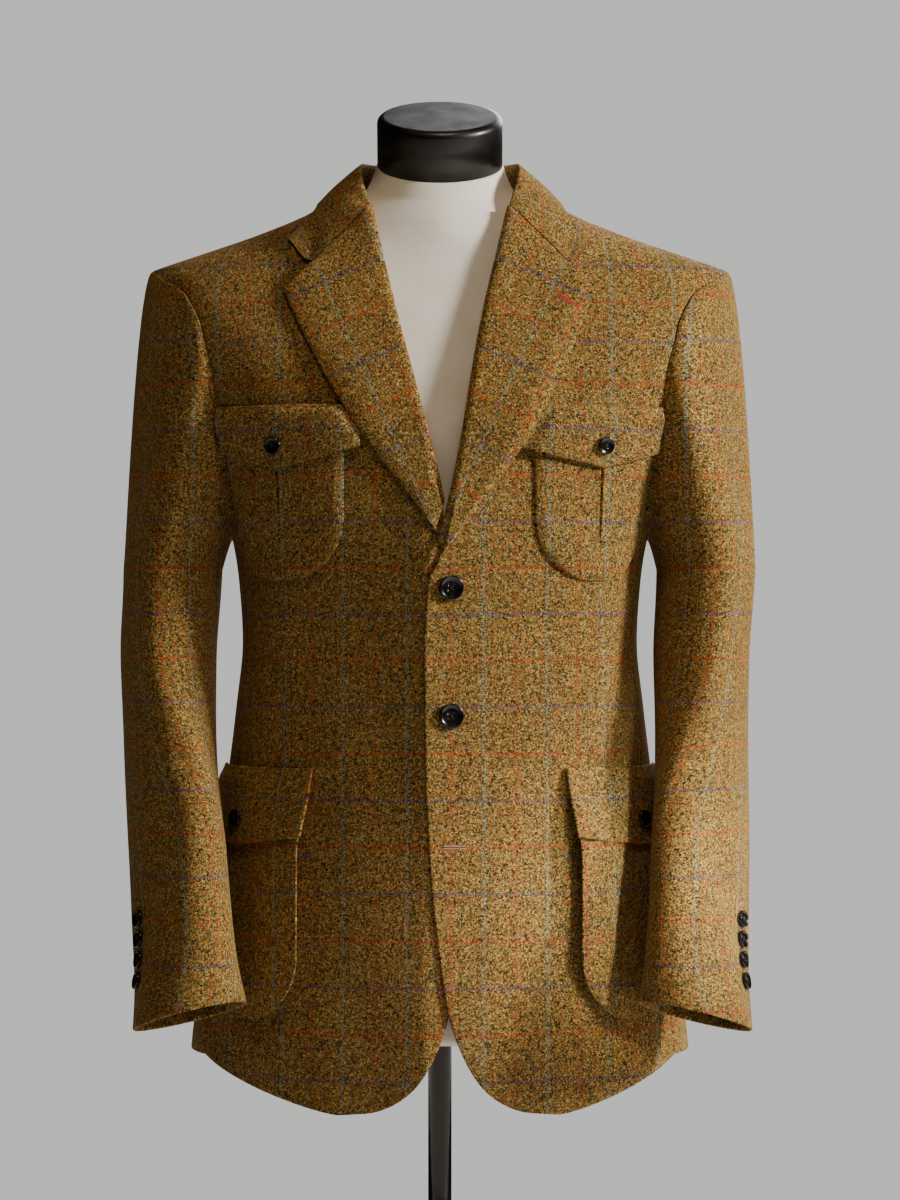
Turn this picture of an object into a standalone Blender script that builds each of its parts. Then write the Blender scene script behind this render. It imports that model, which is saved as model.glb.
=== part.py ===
# A tweed jacket, buttoned, hanging on a limbless dress form with a pole and a round base.
# Metres, Z up, the front of the jacket faces -Y, the wearer's left is +X, the floor is Z = 0.

import math

import bmesh
import bpy
import numpy as np

# Cloth
WALL = 0.0022            # body and sleeve cloth with its canvas
THIN = 0.0018            # patch pockets, flaps, collar and lapels
SEAM = 0.0003            # space left at every seam
REST = 0.0008            # space under a piece that lies on another
CLOSING_X = 0.0075       # the closing line sits a little to the wearer's left
LAP_LIFT = 0.0018        # half the step between the upper and the lower front
RIDGE_X = -0.0110        # the closing edge stands out here, and both fronts slope away from it
RIDGE_HEIGHT = 0.0130
RIDGE_REACH = 0.1000
RIDGE_FADE = (1.20, 0.09)    # it flattens from this level, over this height, under the lapels

# Outside of the jacket body, level by level
BODY_COLUMNS = ("z", "half_width", "front", "back", "front_power", "back_power")
BODY = (
    (0.720, 0.2130, 0.1390, 0.1310, 2.15, 2.30),
    (0.800, 0.2070, 0.1345, 0.1300, 2.15, 2.30),
    (0.900, 0.1935, 0.1290, 0.1230, 2.15, 2.30),
    (1.000, 0.1795, 0.1225, 0.1080, 2.20, 2.30),
    (1.080, 0.1695, 0.1195, 0.0970, 2.40, 2.30),
    (1.130, 0.1645, 0.1200, 0.0940, 2.40, 2.30),
    (1.180, 0.1675, 0.1240, 0.0990, 2.40, 2.30),
    (1.240, 0.1790, 0.1295, 0.1100, 2.40, 2.30),
    (1.300, 0.2050, 0.1290, 0.1200, 2.40, 2.30),
    (1.350, 0.2450, 0.1160, 0.1215, 2.40, 2.30),
    (1.400, 0.2850, 0.0940, 0.1120, 2.20, 2.25),
    (1.430, 0.2640, 0.0800, 0.0990, 1.95, 2.10),
    (1.440, 0.2400, 0.0765, 0.0950, 1.85, 2.05),
    (1.455, 0.1960, 0.0730, 0.0885, 1.70, 1.95),
    (1.470, 0.1530, 0.0700, 0.0820, 1.55, 1.90),
    (1.488, 0.1100, 0.0640, 0.0740, 1.50, 1.85),
    (1.500, 0.0900, 0.0570, 0.0660, 1.50, 1.80),
    (1.512, 0.0760, 0.0500, 0.0590, 1.50, 1.80),
    (1.545, 0.0560, 0.0400, 0.0470, 1.50, 1.80),
)

# Seams of the body, as turns from the centre front in degrees
FRONT_SEAM = 74.0
BACK_SEAM = 103.0
HEM_SIDE = 0.792
HEM_BACK = 0.788
NECK_COLUMNS = ("turn", "z")
NECK = (
    (54.0, 1.4880),
    (72.0, 1.5020),
    (90.0, 1.5120),
    (125.0, 1.5070),
    (180.0, 1.4980),
)

# Armhole, angle round it from the shoulder point, with the turn of its front and back half
ARM_MIDDLE = 1.3275
ARM_HALF = 0.1125
ARM_FOOT = 140.0         # angle at which it meets the two side seams
ARM_COLUMNS = ("around", "front_turn", "back_turn")
ARMHOLE = (
    (0.0, 90.0, 90.0),
    (20.0, 82.0, 100.0),
    (40.0, 73.5, 107.5),
    (60.0, 67.8, 112.0),
    (80.0, 65.2, 112.5),
    (100.0, 66.0, 110.0),
    (120.0, 69.0, 106.0),
    (140.0, 74.0, 103.0),
    (160.0, 81.5, 97.5),
    (180.0, 90.0, 90.0),
)

# Front edge from the hem to the top button, x outward from the closing line
EDGE_COLUMNS = ("row", "z", "x")
EDGE = (
    (0.000, 0.7525, 0.0880),
    (0.030, 0.7550, 0.0620),
    (0.060, 0.7615, 0.0440),
    (0.100, 0.7740, 0.0275),
    (0.150, 0.7950, 0.0135),
    (0.220, 0.8300, 0.0005),
    (0.300, 0.8800, -0.0075),
    (0.400, 0.9550, -0.0150),
    (0.500, 1.0400, -0.0185),
    (0.600, 1.1250, -0.0195),
    (0.660, 1.1780, -0.0165),
)
ROLL_START = 1.197       # the lapel begins to turn here
ROLL_X = 0.0004          # roll line: x outward at ROLL_Z and its lean
ROLL_Z = 1.2515
ROLL_LEAN = 0.228
ROLL_TOP = 1.488         # where the gorge seam reaches the roll line
ROLL_BACKSET = 0.0072    # the front panel stops this far behind the roll
SIDE_ROW = 0.66          # panel row that meets the foot of the armhole

# Lapel, outer edge from the break to the tip, x outward from the closing line
LAPEL_COLUMNS = ("row", "z", "x")
LAPEL = (
    (0.00, 1.1987, -0.0080),
    (0.15, 1.2300, 0.0170),
    (0.35, 1.2700, 0.0470),
    (0.60, 1.3250, 0.0840),
    (0.80, 1.3720, 0.1075),
    (1.00, 1.4170, 0.1275),
)
LAPEL_LOW = 0.0028       # height of its outer face above the front, at the edge
LAPEL_HIGH = 0.0064      # and beside the roll

# Collar fold line and outer edge, by turn round the neck
COLLAR_COLUMNS = ("turn", "fold_radius", "fold_z", "edge_turn", "edge_z")
COLLAR = (
    (49.0, 0.0770, 1.4930, 69.5, 1.4600),
    (60.0, 0.0735, 1.5070, 74.0, 1.4730),
    (75.0, 0.0700, 1.5220, 82.0, 1.4880),
    (95.0, 0.0675, 1.5310, 97.0, 1.4960),
    (135.0, 0.0690, 1.5335, 134.0, 1.4840),
    (180.0, 0.0690, 1.5340, 180.0, 1.4830),
)

# Sleeve below the cap, ring by ring
SLEEVE_COLUMNS = ("z", "x", "y", "half_wide", "half_deep", "yaw", "slant", "sway")
SLEEVE = (
    (1.190, 0.2225, -0.004, 0.0410, 0.0770, 0.0, 0.0, -0.0020),
    (1.120, 0.2215, -0.018, 0.0400, 0.0735, 4.0, 0.0, -0.0040),
    (1.040, 0.2190, -0.045, 0.0370, 0.0690, 14.0, 0.1, -0.0030),
    (0.960, 0.2135, -0.080, 0.0345, 0.0620, 26.0, 0.3, -0.0005),
    (0.890, 0.2075, -0.110, 0.0370, 0.0560, 28.0, 0.6, 0.0010),
    (0.832, 0.2020, -0.133, 0.0455, 0.0490, 20.0, 1.0, 0.0025),
)
CUFF_SLANT_OUT = 0.24    # the hem drops to the outside
CUFF_SLANT_BACK = 0.20   # and to the back
FORE_SEAM = (140.0, 178.0)   # sleeve seams at the top and at the cuff, in degrees
HIND_SEAM = (285.88, 340.0)  # round from the outside by the front
SLEEVE_FOLD_COLUMNS = ("around", "z", "lean", "width", "length", "height")
SLEEVE_FOLDS = (
    (70.0, 1.120, 90.0, 0.016, 0.090, 0.0035),
    (105.0, 1.030, -70.0, 0.016, 0.080, 0.0035),
    (40.0, 0.965, 60.0, 0.018, 0.090, -0.0030),
    (250.0, 1.050, -80.0, 0.020, 0.090, 0.0035),
)

# Breast pocket and its flap
BREAST_X = 0.130
BREAST_TOP = 1.322
BREAST_HALF = 0.0560
BREAST_BOTTOM = 1.181
BREAST_ROUND = 0.050
BREAST_FLAP_HALF = 0.0580
BREAST_FLAP_SIDE = 0.034
BREAST_FLAP_POINT = 0.050
PLEAT_DEPTH = 0.0009
PLEAT_BOTTOM = 1.212

# Lower bellows pocket and its flap
LOWER_X = 0.160
LOWER_TOP = 1.029
LOWER_HALF = 0.0680
LOWER_BOTTOM = 0.826
LOWER_ROUND = 0.050
LOWER_FLAP_HALF = 0.0710
LOWER_FLAP_SIDE = 0.056
LOWER_FLAP_POINT = 0.064
BELLOWS = 0.0105         # how far the pocket face stands off the front
GUSSET_INSET = 0.0055
GUSSET_TOP = 0.955
GUSSET_SPACE = (0.0014, 0.0008)  # space to the front and to the pocket face

# Buttons: radius and height
FRONT_BUTTON = (0.0102, 0.0036)
SMALL_BUTTON = (0.0072, 0.0030)
FRONT_BUTTON_X = 0.009
FRONT_BUTTON_Z = (1.176, 1.072)
BREAST_BUTTON_Z = 1.2905
LOWER_BUTTON_Z = 0.986
CUFF_BUTTON_Z = (0.9110, 0.8958, 0.8806, 0.8654)
CUFF_BUTTON_AROUND = -4.0
CUFF_BUTTON_REST = 0.0004    # more room under these, where the sleeve flares to the cuff

# Dress form
FORM_INSET_COLUMNS = ("z", "inset")
FORM_INSET = (
    (0.800, 0.0220),
    (1.000, 0.0160),
    (1.130, 0.0120),
    (1.300, 0.0100),
    (1.380, 0.0075),
    (1.430, 0.0058),
    (1.490, 0.0058),
)
FORM_BLADE_INSET = 0.0030  # more room behind the shoulders
FORM_BOTTOM = 0.805
FORM_ARM_CUT = 0.186     # the form ends here at the shoulder, as a flat arm plate
NECK_RING_COLUMNS = ("z", "y", "half_width", "front", "back", "power", "tilt")
NECK_RINGS = (
    (1.4960, 0.0010, 0.0760, 0.0540, 0.0570, 1.80, 8.0),
    (1.5080, 0.0035, 0.0620, 0.0520, 0.0545, 1.90, 14.0),
    (1.5190, 0.0060, 0.0565, 0.0525, 0.0535, 2.00, 19.0),
    (1.5298, 0.0084, 0.0530, 0.0530, 0.0530, 2.00, 23.0),
)
CAP_TILT = 23.0
CAP_RADIUS = 0.0525
CAP_HEIGHT = 0.042
CAP_ROUND = 0.006
POLE_RADIUS = 0.0098
BASE_RADIUS = 0.200
BASE_HEIGHT = 0.012


def column(columns, table, name):
    """One column of a table as an array."""
    return np.array([row[columns.index(name)] for row in table], dtype=float)


def through(knots, values, at):
    """Smooth curve through the knots that never overshoots them."""
    step = np.diff(knots)
    slope = np.diff(values) / step
    tangent = np.zeros(len(knots))
    tangent[0] = slope[0]
    tangent[-1] = slope[-1]
    same = slope[1:] * slope[:-1] > 0.0
    weight_a = 2.0 * step[1:] + step[:-1]
    weight_b = step[1:] + 2.0 * step[:-1]
    safe_a = np.where(same, slope[:-1], 1.0)
    safe_b = np.where(same, slope[1:], 1.0)
    mean = (weight_a + weight_b) / (weight_a / safe_a + weight_b / safe_b)
    tangent[1:-1] = np.where(same, mean, 0.0)
    at = np.clip(np.asarray(at, dtype=float), knots[0], knots[-1])
    i = np.clip(np.searchsorted(knots, at) - 1, 0, len(knots) - 2)
    h = step[i]
    t = (at - knots[i]) / h
    low = (1.0 + 2.0 * t) * (1.0 - t) ** 2 * values[i] + t * (1.0 - t) ** 2 * h * tangent[i]
    high = t * t * (3.0 - 2.0 * t) * values[i + 1] + t * t * (t - 1.0) * h * tangent[i + 1]
    return low + high


def from_table(columns, table, name, at, key=None):
    """A column of a table, read smoothly at given places of its key column."""
    knots = column(columns, table, key or columns[0])
    values = column(columns, table, name)
    if knots[0] > knots[-1]:
        knots = knots[::-1]
        values = values[::-1]
    return through(knots, values, at)


def ease(t):
    """Soft step from 0 to 1."""
    t = np.clip(t, 0.0, 1.0)
    return t * t * (3.0 - 2.0 * t)


def unit(v):
    """Vectors brought to length one."""
    return v / np.maximum(np.linalg.norm(v, axis=-1, keepdims=True), 1e-12)


def body_radius(turn, z):
    """Distance of the body surface from the middle axis."""
    turn = np.asarray(turn, dtype=float)
    z = np.asarray(z, dtype=float)
    wide = from_table(BODY_COLUMNS, BODY, "half_width", z)
    front = from_table(BODY_COLUMNS, BODY, "front", z)
    back = from_table(BODY_COLUMNS, BODY, "back", z)
    power_f = from_table(BODY_COLUMNS, BODY, "front_power", z)
    power_b = from_table(BODY_COLUMNS, BODY, "back_power", z)
    ahead = np.cos(turn) >= 0.0
    depth = np.where(ahead, front, back)
    power = np.where(ahead, power_f, power_b)
    total = np.abs(np.cos(turn) / depth) ** power + np.abs(np.sin(turn) / wide) ** power
    return total ** (-1.0 / power)


def body_point(turn, z):
    """Point of the body surface on the wearer's left."""
    r = body_radius(turn, z)
    z = np.broadcast_to(np.asarray(z, dtype=float), r.shape)
    return np.stack([r * np.sin(turn), -r * np.cos(turn), z], axis=-1)


def body_normal(turn, z):
    """Outward direction of the body surface."""
    h = 1e-4
    around = body_point(turn + h, z) - body_point(turn - h, z)
    up = body_point(turn, z + h) - body_point(turn, z - h)
    return unit(np.cross(around, up))


def turn_at_x(x, z):
    """Turn of the front point with a given sideways distance."""
    x = np.asarray(x, dtype=float)
    x, z = np.broadcast_arrays(x, np.asarray(z, dtype=float))
    turns = np.radians(np.linspace(-25.0, 90.0, 231))
    result = np.empty(x.shape)
    for index in np.ndindex(x.shape):
        result[index] = np.interp(x[index], body_radius(turns, z[index]) * np.sin(turns), turns)
    return result


def turn_at_arc(arc, z):
    """Turn of the point at a given length round the body from the middle of the front."""
    arc, z = np.broadcast_arrays(np.asarray(arc, dtype=float), np.asarray(z, dtype=float))
    turns = np.radians(np.linspace(-25.0, 180.0, 411))
    result = np.empty(arc.shape)
    for index in np.ndindex(arc.shape):
        line = body_point(turns, z[index])
        length = np.concatenate([[0.0], np.cumsum(np.linalg.norm(np.diff(line, axis=0), axis=1))])
        length -= np.interp(0.0, turns, length)
        result[index] = np.interp(arc[index], length, turns)
    return result


def arc_at_turn(turn, z):
    """Length round the body from the middle of the front to a turn."""
    turns = np.linspace(0.0, float(turn), 120)
    line = body_point(turns, float(z))
    return float(np.linalg.norm(np.diff(line, axis=0), axis=1).sum())


def closing_x(z):
    """Sideways place of the closing line, which comes back to the middle at the neck."""
    return CLOSING_X * (1.0 - ease((np.asarray(z) - 1.25) / 0.17))


def front_lift(side, x, z):
    """Height of a front above the body surface: the closing ridge, the wearer's left front on top."""
    off = np.clip(np.abs(x - side * RIDGE_X) / RIDGE_REACH, 0.0, 1.0)
    ridge = RIDGE_HEIGHT * (1.0 - off) ** 2 * (1.0 - ease((z - RIDGE_FADE[0]) / RIDGE_FADE[1]))
    near = 1.0 - ease((x - 0.030) / 0.060)
    return ridge + side * LAP_LIFT * near * (1.0 - ease((z - 1.26) / 0.14))


def roll_x(z):
    """Roll line of the lapel, outward from the closing line."""
    return ROLL_X + ROLL_LEAN * (z - ROLL_Z)


def front_point(side, turn, z, height):
    """Point over a front panel at a height above its outer face."""
    p = body_point(turn, z)
    lift = np.asarray(height) + front_lift(side, p[..., 0], p[..., 2])
    p = p + body_normal(turn, z) * lift[..., None]
    p[..., 0] *= side
    return p


def inward_of(grid, inside):
    """Unit directions across a grid of points that point to the inside."""
    a = np.gradient(grid, axis=0)
    b = np.gradient(grid, axis=1)
    n = unit(np.cross(a, b))
    if np.sum(n * (inside - grid)) < 0.0:
        n = -n
    return n


def finish(name, bm, colour):
    """Turn a working mesh into a named object with its own material."""
    bmesh.ops.recalc_face_normals(bm, faces=bm.faces)
    mesh = bpy.data.meshes.new(name)
    bm.to_mesh(mesh)
    bm.free()
    obj = bpy.data.objects.new(name, mesh)
    bpy.context.scene.collection.objects.link(obj)
    material = bpy.data.materials.new(name + "_surface")
    material.use_nodes = True
    shader = material.node_tree.nodes["Principled BSDF"]
    shader.inputs["Base Color"].default_value = (*colour, 1.0)
    shader.inputs["Roughness"].default_value = 0.8
    mesh.materials.append(material)
    return obj


def wall(name, outer, inward, thickness, colour):
    """Closed cloth wall from a grid of outer points and the directions to its inside."""
    rows, cols = outer.shape[:2]
    inner = outer + inward * thickness
    bm = bmesh.new()
    skins = []
    for layer in (outer, inner):
        skins.append([[bm.verts.new(layer[i, j]) for j in range(cols)] for i in range(rows)])
    for skin in skins:
        for i in range(rows - 1):
            for j in range(cols - 1):
                bm.faces.new((skin[i][j], skin[i][j + 1], skin[i + 1][j + 1], skin[i + 1][j]))
    rim = [(0, j) for j in range(cols)]
    rim += [(i, cols - 1) for i in range(1, rows)]
    rim += [(rows - 1, j) for j in range(cols - 2, -1, -1)]
    rim += [(i, 0) for i in range(rows - 2, 0, -1)]
    for k, (i, j) in enumerate(rim):
        m, n = rim[(k + 1) % len(rim)]
        bm.faces.new((skins[0][i][j], skins[0][m][n], skins[1][m][n], skins[1][i][j]))
    return finish(name, bm, colour)


def loft(name, rings, colour):
    """Closed solid through rings of points, with flat ends."""
    bm = bmesh.new()
    loops = [[bm.verts.new(p) for p in ring] for ring in rings]
    count = len(loops[0])
    for low, high in zip(loops, loops[1:]):
        for k in range(count):
            m = (k + 1) % count
            bm.faces.new((low[k], low[m], high[m], high[k]))
    bm.faces.new(loops[0])
    bm.faces.new(loops[-1])
    return finish(name, bm, colour)


def turned(name, base, axis, profile, segments, colour):
    """Solid turned about an axis from (radius, height) pairs."""
    axis = unit(np.asarray(axis, dtype=float))
    guide = np.array([0.0, 0.0, 1.0]) if abs(axis[2]) < 0.9 else np.array([1.0, 0.0, 0.0])
    across = unit(np.cross(guide, axis))
    other = np.cross(axis, across)
    angle = 2.0 * math.pi * np.arange(segments) / segments
    circle = np.cos(angle)[:, None] * across + np.sin(angle)[:, None] * other
    rings = [np.asarray(base) + circle * radius + axis * height for radius, height in profile]
    return loft(name, rings, colour)


def seam_step(turn, z, sign):
    """Turn moved by half a seam space."""
    return turn + sign * 0.62 * SEAM / body_radius(turn, z)


def armhole(around):
    """Turn and level of the armhole at an angle from the shoulder point, by the front."""
    around = np.mod(around, 2.0 * math.pi)
    half = np.degrees(np.minimum(around, 2.0 * math.pi - around))
    front = from_table(ARM_COLUMNS, ARMHOLE, "front_turn", half)
    back = from_table(ARM_COLUMNS, ARMHOLE, "back_turn", half)
    turn = np.radians(np.where(around <= math.pi, front, back))
    return turn, ARM_MIDDLE + ARM_HALF * np.cos(around)


def side_line(rows, back):
    """Side of a front or back panel: the seam from the hem, then the armhole."""
    turn = np.radians(BACK_SEAM if back else FRONT_SEAM)
    foot = math.radians(ARM_FOOT)
    foot_z = ARM_MIDDLE + ARM_HALF * math.cos(foot)
    below = rows <= SIDE_ROW
    z_low = HEM_SIDE + (foot_z - HEM_SIDE) * np.clip(rows / SIDE_ROW, 0.0, 1.0)
    around = foot * (1.0 - np.clip((rows - SIDE_ROW) / (1.0 - SIDE_ROW), 0.0, 1.0))
    arm_turn, arm_z = armhole(2.0 * math.pi - around if back else around)
    turns = np.where(below, turn, arm_turn)
    levels = np.where(below, z_low, arm_z)
    return seam_step(turns, levels, 1.0 if back else -1.0), levels


def patch(bottom, top, first, last, u, v, power=1.0):
    """Blend of four border lines; a higher power keeps the shape of the top line to the top."""
    u = u[None, :]
    v = v[:, None] ** power
    along = (1.0 - v) * bottom[None, :] + v * top[None, :]
    across = (1.0 - u) * first[:, None] + u * last[:, None]
    corners = (1.0 - u) * (1.0 - v) * bottom[0] + u * (1.0 - v) * bottom[-1]
    corners = corners + (1.0 - u) * v * top[0] + u * v * top[-1]
    return along + across - corners


FRONT_ROWS = np.array([
    0.0, 0.03, 0.06, 0.10, 0.15, 0.21, 0.28, 0.36, 0.44, 0.52, 0.59, 0.63, 0.66, 0.70, 0.74,
    0.78, 0.82, 0.86, 0.90, 0.93, 0.958, 0.98, 1.0,
])
FRONT_STEPS = np.array([0.0, 0.06, 0.14, 0.23, 0.33, 0.43, 0.53, 0.63, 0.73, 0.83, 0.92, 1.0])


def front_border(side, rows):
    """Front edge, roll line and front neck of a front panel as turns and levels."""
    turn = np.empty(rows.shape)
    level = np.empty(rows.shape)
    for k, row in enumerate(rows):
        if row <= 0.66:
            z = float(from_table(EDGE_COLUMNS, EDGE, "z", row))
            x = float(from_table(EDGE_COLUMNS, EDGE, "x", row))
        elif row <= 0.958:
            z = 1.178 + (ROLL_TOP - 1.178) * (row - 0.66) / 0.298
            blend = float(ease((z - 1.178) / 0.030))
            x = -0.0165 * (1.0 - blend) + (roll_x(z) + ROLL_BACKSET) * blend
        else:
            share = (row - 0.958) / 0.042
            start = turn[np.argmin(np.abs(rows - 0.958))]
            turn[k] = start + (math.radians(90.0) - start) * share
            level[k] = float(from_table(NECK_COLUMNS, NECK, "z", math.degrees(turn[k])))
            continue
        level[k] = z
        turn[k] = float(turn_at_x(x + side * closing_x(z), z))
    return turn, level


def build_front(side, name):
    """One front panel, from the front edge and the roll line to the side seam and the armhole."""
    edge_turn, edge_z = front_border(side, FRONT_ROWS)
    side_turn, side_z = side_line(FRONT_ROWS, False)
    u = FRONT_STEPS
    shoulder_z = edge_z[-1] + (side_z[-1] - edge_z[-1]) * u
    shoulder = seam_step(np.full(u.shape, math.pi / 2.0), shoulder_z, -1.0)
    edge_turn[-1] = shoulder[0]
    side_turn[-1] = shoulder[-1]
    hem_z = edge_z[0] + (side_z[0] - edge_z[0]) * u ** 1.4
    hem = edge_turn[0] + (side_turn[0] - edge_turn[0]) * u
    turn = patch(hem, shoulder, edge_turn, side_turn, u, FRONT_ROWS)
    z = patch(hem_z, shoulder_z, edge_z, side_z, u, FRONT_ROWS)
    outer = front_point(side, turn, z, np.zeros(turn.shape))
    inward = -body_normal(turn, z)
    inward[..., 0] *= side
    return wall(name, outer, inward, WALL, TWEED)


SIDE_STEPS = np.linspace(0.0, 1.0, 6)
SIDE_ROWS = np.array([0.0, 0.10, 0.21, 0.28, 0.36, 0.44, 0.52, 0.59, 0.63, 0.66]) / 0.66


def build_side(side, name):
    """Side panel under the arm."""
    foot = math.radians(ARM_FOOT)
    foot_z = ARM_MIDDLE + ARM_HALF * math.cos(foot)
    levels = HEM_SIDE + (foot_z - HEM_SIDE) * SIDE_ROWS
    first = seam_step(np.full(levels.shape, math.radians(FRONT_SEAM)), levels, 1.0)
    last = seam_step(np.full(levels.shape, math.radians(BACK_SEAM)), levels, -1.0)
    top, top_z = armhole(foot + (2.0 * math.pi - 2.0 * foot) * SIDE_STEPS)
    top[0] = first[-1]
    top[-1] = last[-1]
    hem = first[0] + (last[0] - first[0]) * SIDE_STEPS
    hem_z = np.full(hem.shape, HEM_SIDE)
    turn = patch(hem, top, first, last, SIDE_STEPS, SIDE_ROWS)
    z = patch(hem_z, top_z, levels, levels, SIDE_STEPS, SIDE_ROWS)
    outer = body_point(turn, z)
    inward = -body_normal(turn, z)
    outer[..., 0] *= side
    inward[..., 0] *= side
    return wall(name, outer, inward, WALL, TWEED)


BACK_ROWS = np.array([
    0.0, 0.10, 0.21, 0.28, 0.36, 0.44, 0.52, 0.59, 0.63, 0.66, 0.70, 0.74, 0.78, 0.82, 0.86, 0.90,
    0.93, 0.958, 0.98, 1.0,
])
BACK_STEPS = np.array([0.0, 0.10, 0.20, 0.30, 0.44, 0.58, 0.72, 0.86, 1.0])
NECK_SHARE = 0.30


def build_back(side, name):
    """Half of the back, from the centre seam to the side seam and the armhole."""
    side_turn, side_z = side_line(BACK_ROWS, True)
    u = BACK_STEPS
    in_neck = np.clip(u / NECK_SHARE, 0.0, 1.0)
    past = np.clip((u - NECK_SHARE) / (1.0 - NECK_SHARE), 0.0, 1.0)
    neck_turn = math.pi - (math.pi / 2.0) * in_neck
    neck_z = from_table(NECK_COLUMNS, NECK, "z", np.degrees(neck_turn))
    top_z = np.where(u <= NECK_SHARE, neck_z, 1.512 + (side_z[-1] - 1.512) * past)
    top = seam_step(neck_turn, top_z, 1.0)
    centre_z = HEM_BACK + (top_z[0] - HEM_BACK) * BACK_ROWS
    centre = seam_step(np.full(centre_z.shape, math.pi), centre_z, -1.0)
    top[0] = centre[-1]
    side_turn[-1] = top[-1]
    hem = centre[0] + (side_turn[0] - centre[0]) * u
    hem_z = HEM_BACK + (side_z[0] - HEM_BACK) * u
    turn = patch(hem, top, centre, side_turn, u, BACK_ROWS, 6.0)
    z = patch(hem_z, top_z, centre_z, side_z, u, BACK_ROWS, 6.0)
    outer = body_point(turn, z)
    inward = -body_normal(turn, z)
    outer[..., 0] *= side
    inward[..., 0] *= side
    return wall(name, outer, inward, WALL, TWEED)


def sleeve_ring(around, level):
    """Point of the sleeve below the cap, at an angle from the outside round by the front."""
    x = from_table(SLEEVE_COLUMNS, SLEEVE, "x", level)
    y = from_table(SLEEVE_COLUMNS, SLEEVE, "y", level)
    wide = from_table(SLEEVE_COLUMNS, SLEEVE, "half_wide", level)
    deep = from_table(SLEEVE_COLUMNS, SLEEVE, "half_deep", level)
    slant = from_table(SLEEVE_COLUMNS, SLEEVE, "slant", level)
    yaw = np.radians(from_table(SLEEVE_COLUMNS, SLEEVE, "yaw", level))
    out = wide * np.cos(around) * np.cos(yaw) - deep * np.sin(around) * np.sin(yaw)
    ahead = deep * np.sin(around) * np.cos(yaw) + wide * np.cos(around) * np.sin(yaw)
    grow = np.zeros(np.broadcast(around, level).shape)
    for mid, at_z, lean, width, length, height in SLEEVE_FOLDS:
        turn = np.angle(np.exp(1j * (around - math.radians(mid))))
        along = turn * 0.060
        up = level - at_z
        c = math.cos(math.radians(lean))
        s = math.sin(math.radians(lean))
        run = along * c + up * s
        off = -along * s + up * c
        grow = grow + height * np.exp(-((run / length) ** 2) - (off / width) ** 2)
    size = np.sqrt(out * out + ahead * ahead)
    drop = CUFF_SLANT_OUT * out - CUFF_SLANT_BACK * ahead
    z = level - slant * drop
    swell = 1.0 + grow / size
    return np.stack([x + out * swell, y - ahead * swell, z], axis=-1)


def sleeve_point(around, way):
    """Sleeve surface: way 0 to 1 is the cap from the armhole, 1 to 2 runs to the hem."""
    around, way = np.broadcast_arrays(np.asarray(around, dtype=float), np.asarray(way, dtype=float))
    turn, z = armhole(around)
    seat = body_point(turn, z)
    normal = body_normal(turn, z)
    h = 1e-3
    after = body_point(*armhole(around + h))
    before = body_point(*armhole(around - h))
    into = unit(np.cross(unit(after - before), normal))
    hole = np.array([0.205, 0.0, ARM_MIDDLE]) - seat
    into = into * np.sign(np.sum(into * hole, axis=-1, keepdims=True))
    low = (1.0 - np.cos(around)) / 2.0
    start = seat + (into * 0.0005) + normal * (0.0006 * low)[..., None]
    top = SLEEVE[0][0]
    ring = sleeve_ring(around, np.full(around.shape, top))
    reach = np.linalg.norm(ring - start, axis=-1, keepdims=True)
    high = ((1.0 + np.cos(around)) / 2.0)[..., None]
    guide = start + (ring - start) * np.array([0.32, 0.50, 0.16])
    swing = np.sin(around)
    bulge = np.stack([0.008 * np.abs(swing), -0.014 * swing, np.zeros(swing.shape)], axis=-1)
    guide = guide + bulge * np.minimum(1.0, reach / 0.10)
    crown = ease((high - 0.5) / 0.5)
    guide = guide * (1.0 - crown) + (start + into * 0.013) * crown
    t = np.clip(way, 0.0, 1.0)[..., None]
    cap = (1.0 - t) ** 2 * start + 2.0 * t * (1.0 - t) * guide + t * t * ring
    bottom = SLEEVE[-1][0]
    level = top + (bottom - top) * np.clip(way - 1.0, 0.0, 1.0)
    tube = sleeve_ring(around, level)
    return np.where((way <= 1.0)[..., None], cap, tube)


SLEEVE_WAYS = np.array([
    0.0, 0.12, 0.25, 0.40, 0.56, 0.76, 1.0, 1.15, 1.30, 1.44, 1.58, 1.72, 1.86, 2.0,
])
HEAD_WAY = 0.56          # the top half is two solids that meet here, so that collision follows the cap


def sway(side, points):
    """Sleeve points put on their side of the body, with the drift of the hanging pair."""
    drift = from_table(SLEEVE_COLUMNS, SLEEVE, "sway", np.minimum(points[..., 2], SLEEVE[0][0]))
    drift = drift * ease((1.215 - points[..., 2]) / 0.10)
    points = points * np.array([side, 1.0, 1.0])
    points[..., 0] += drift
    return points


def sleeve_seam(ends, way):
    """Angle of a sleeve seam, which winds a little on its way to the cuff."""
    return np.radians(ends[0] + (ends[1] - ends[0]) * ease(way / 2.0))


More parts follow.
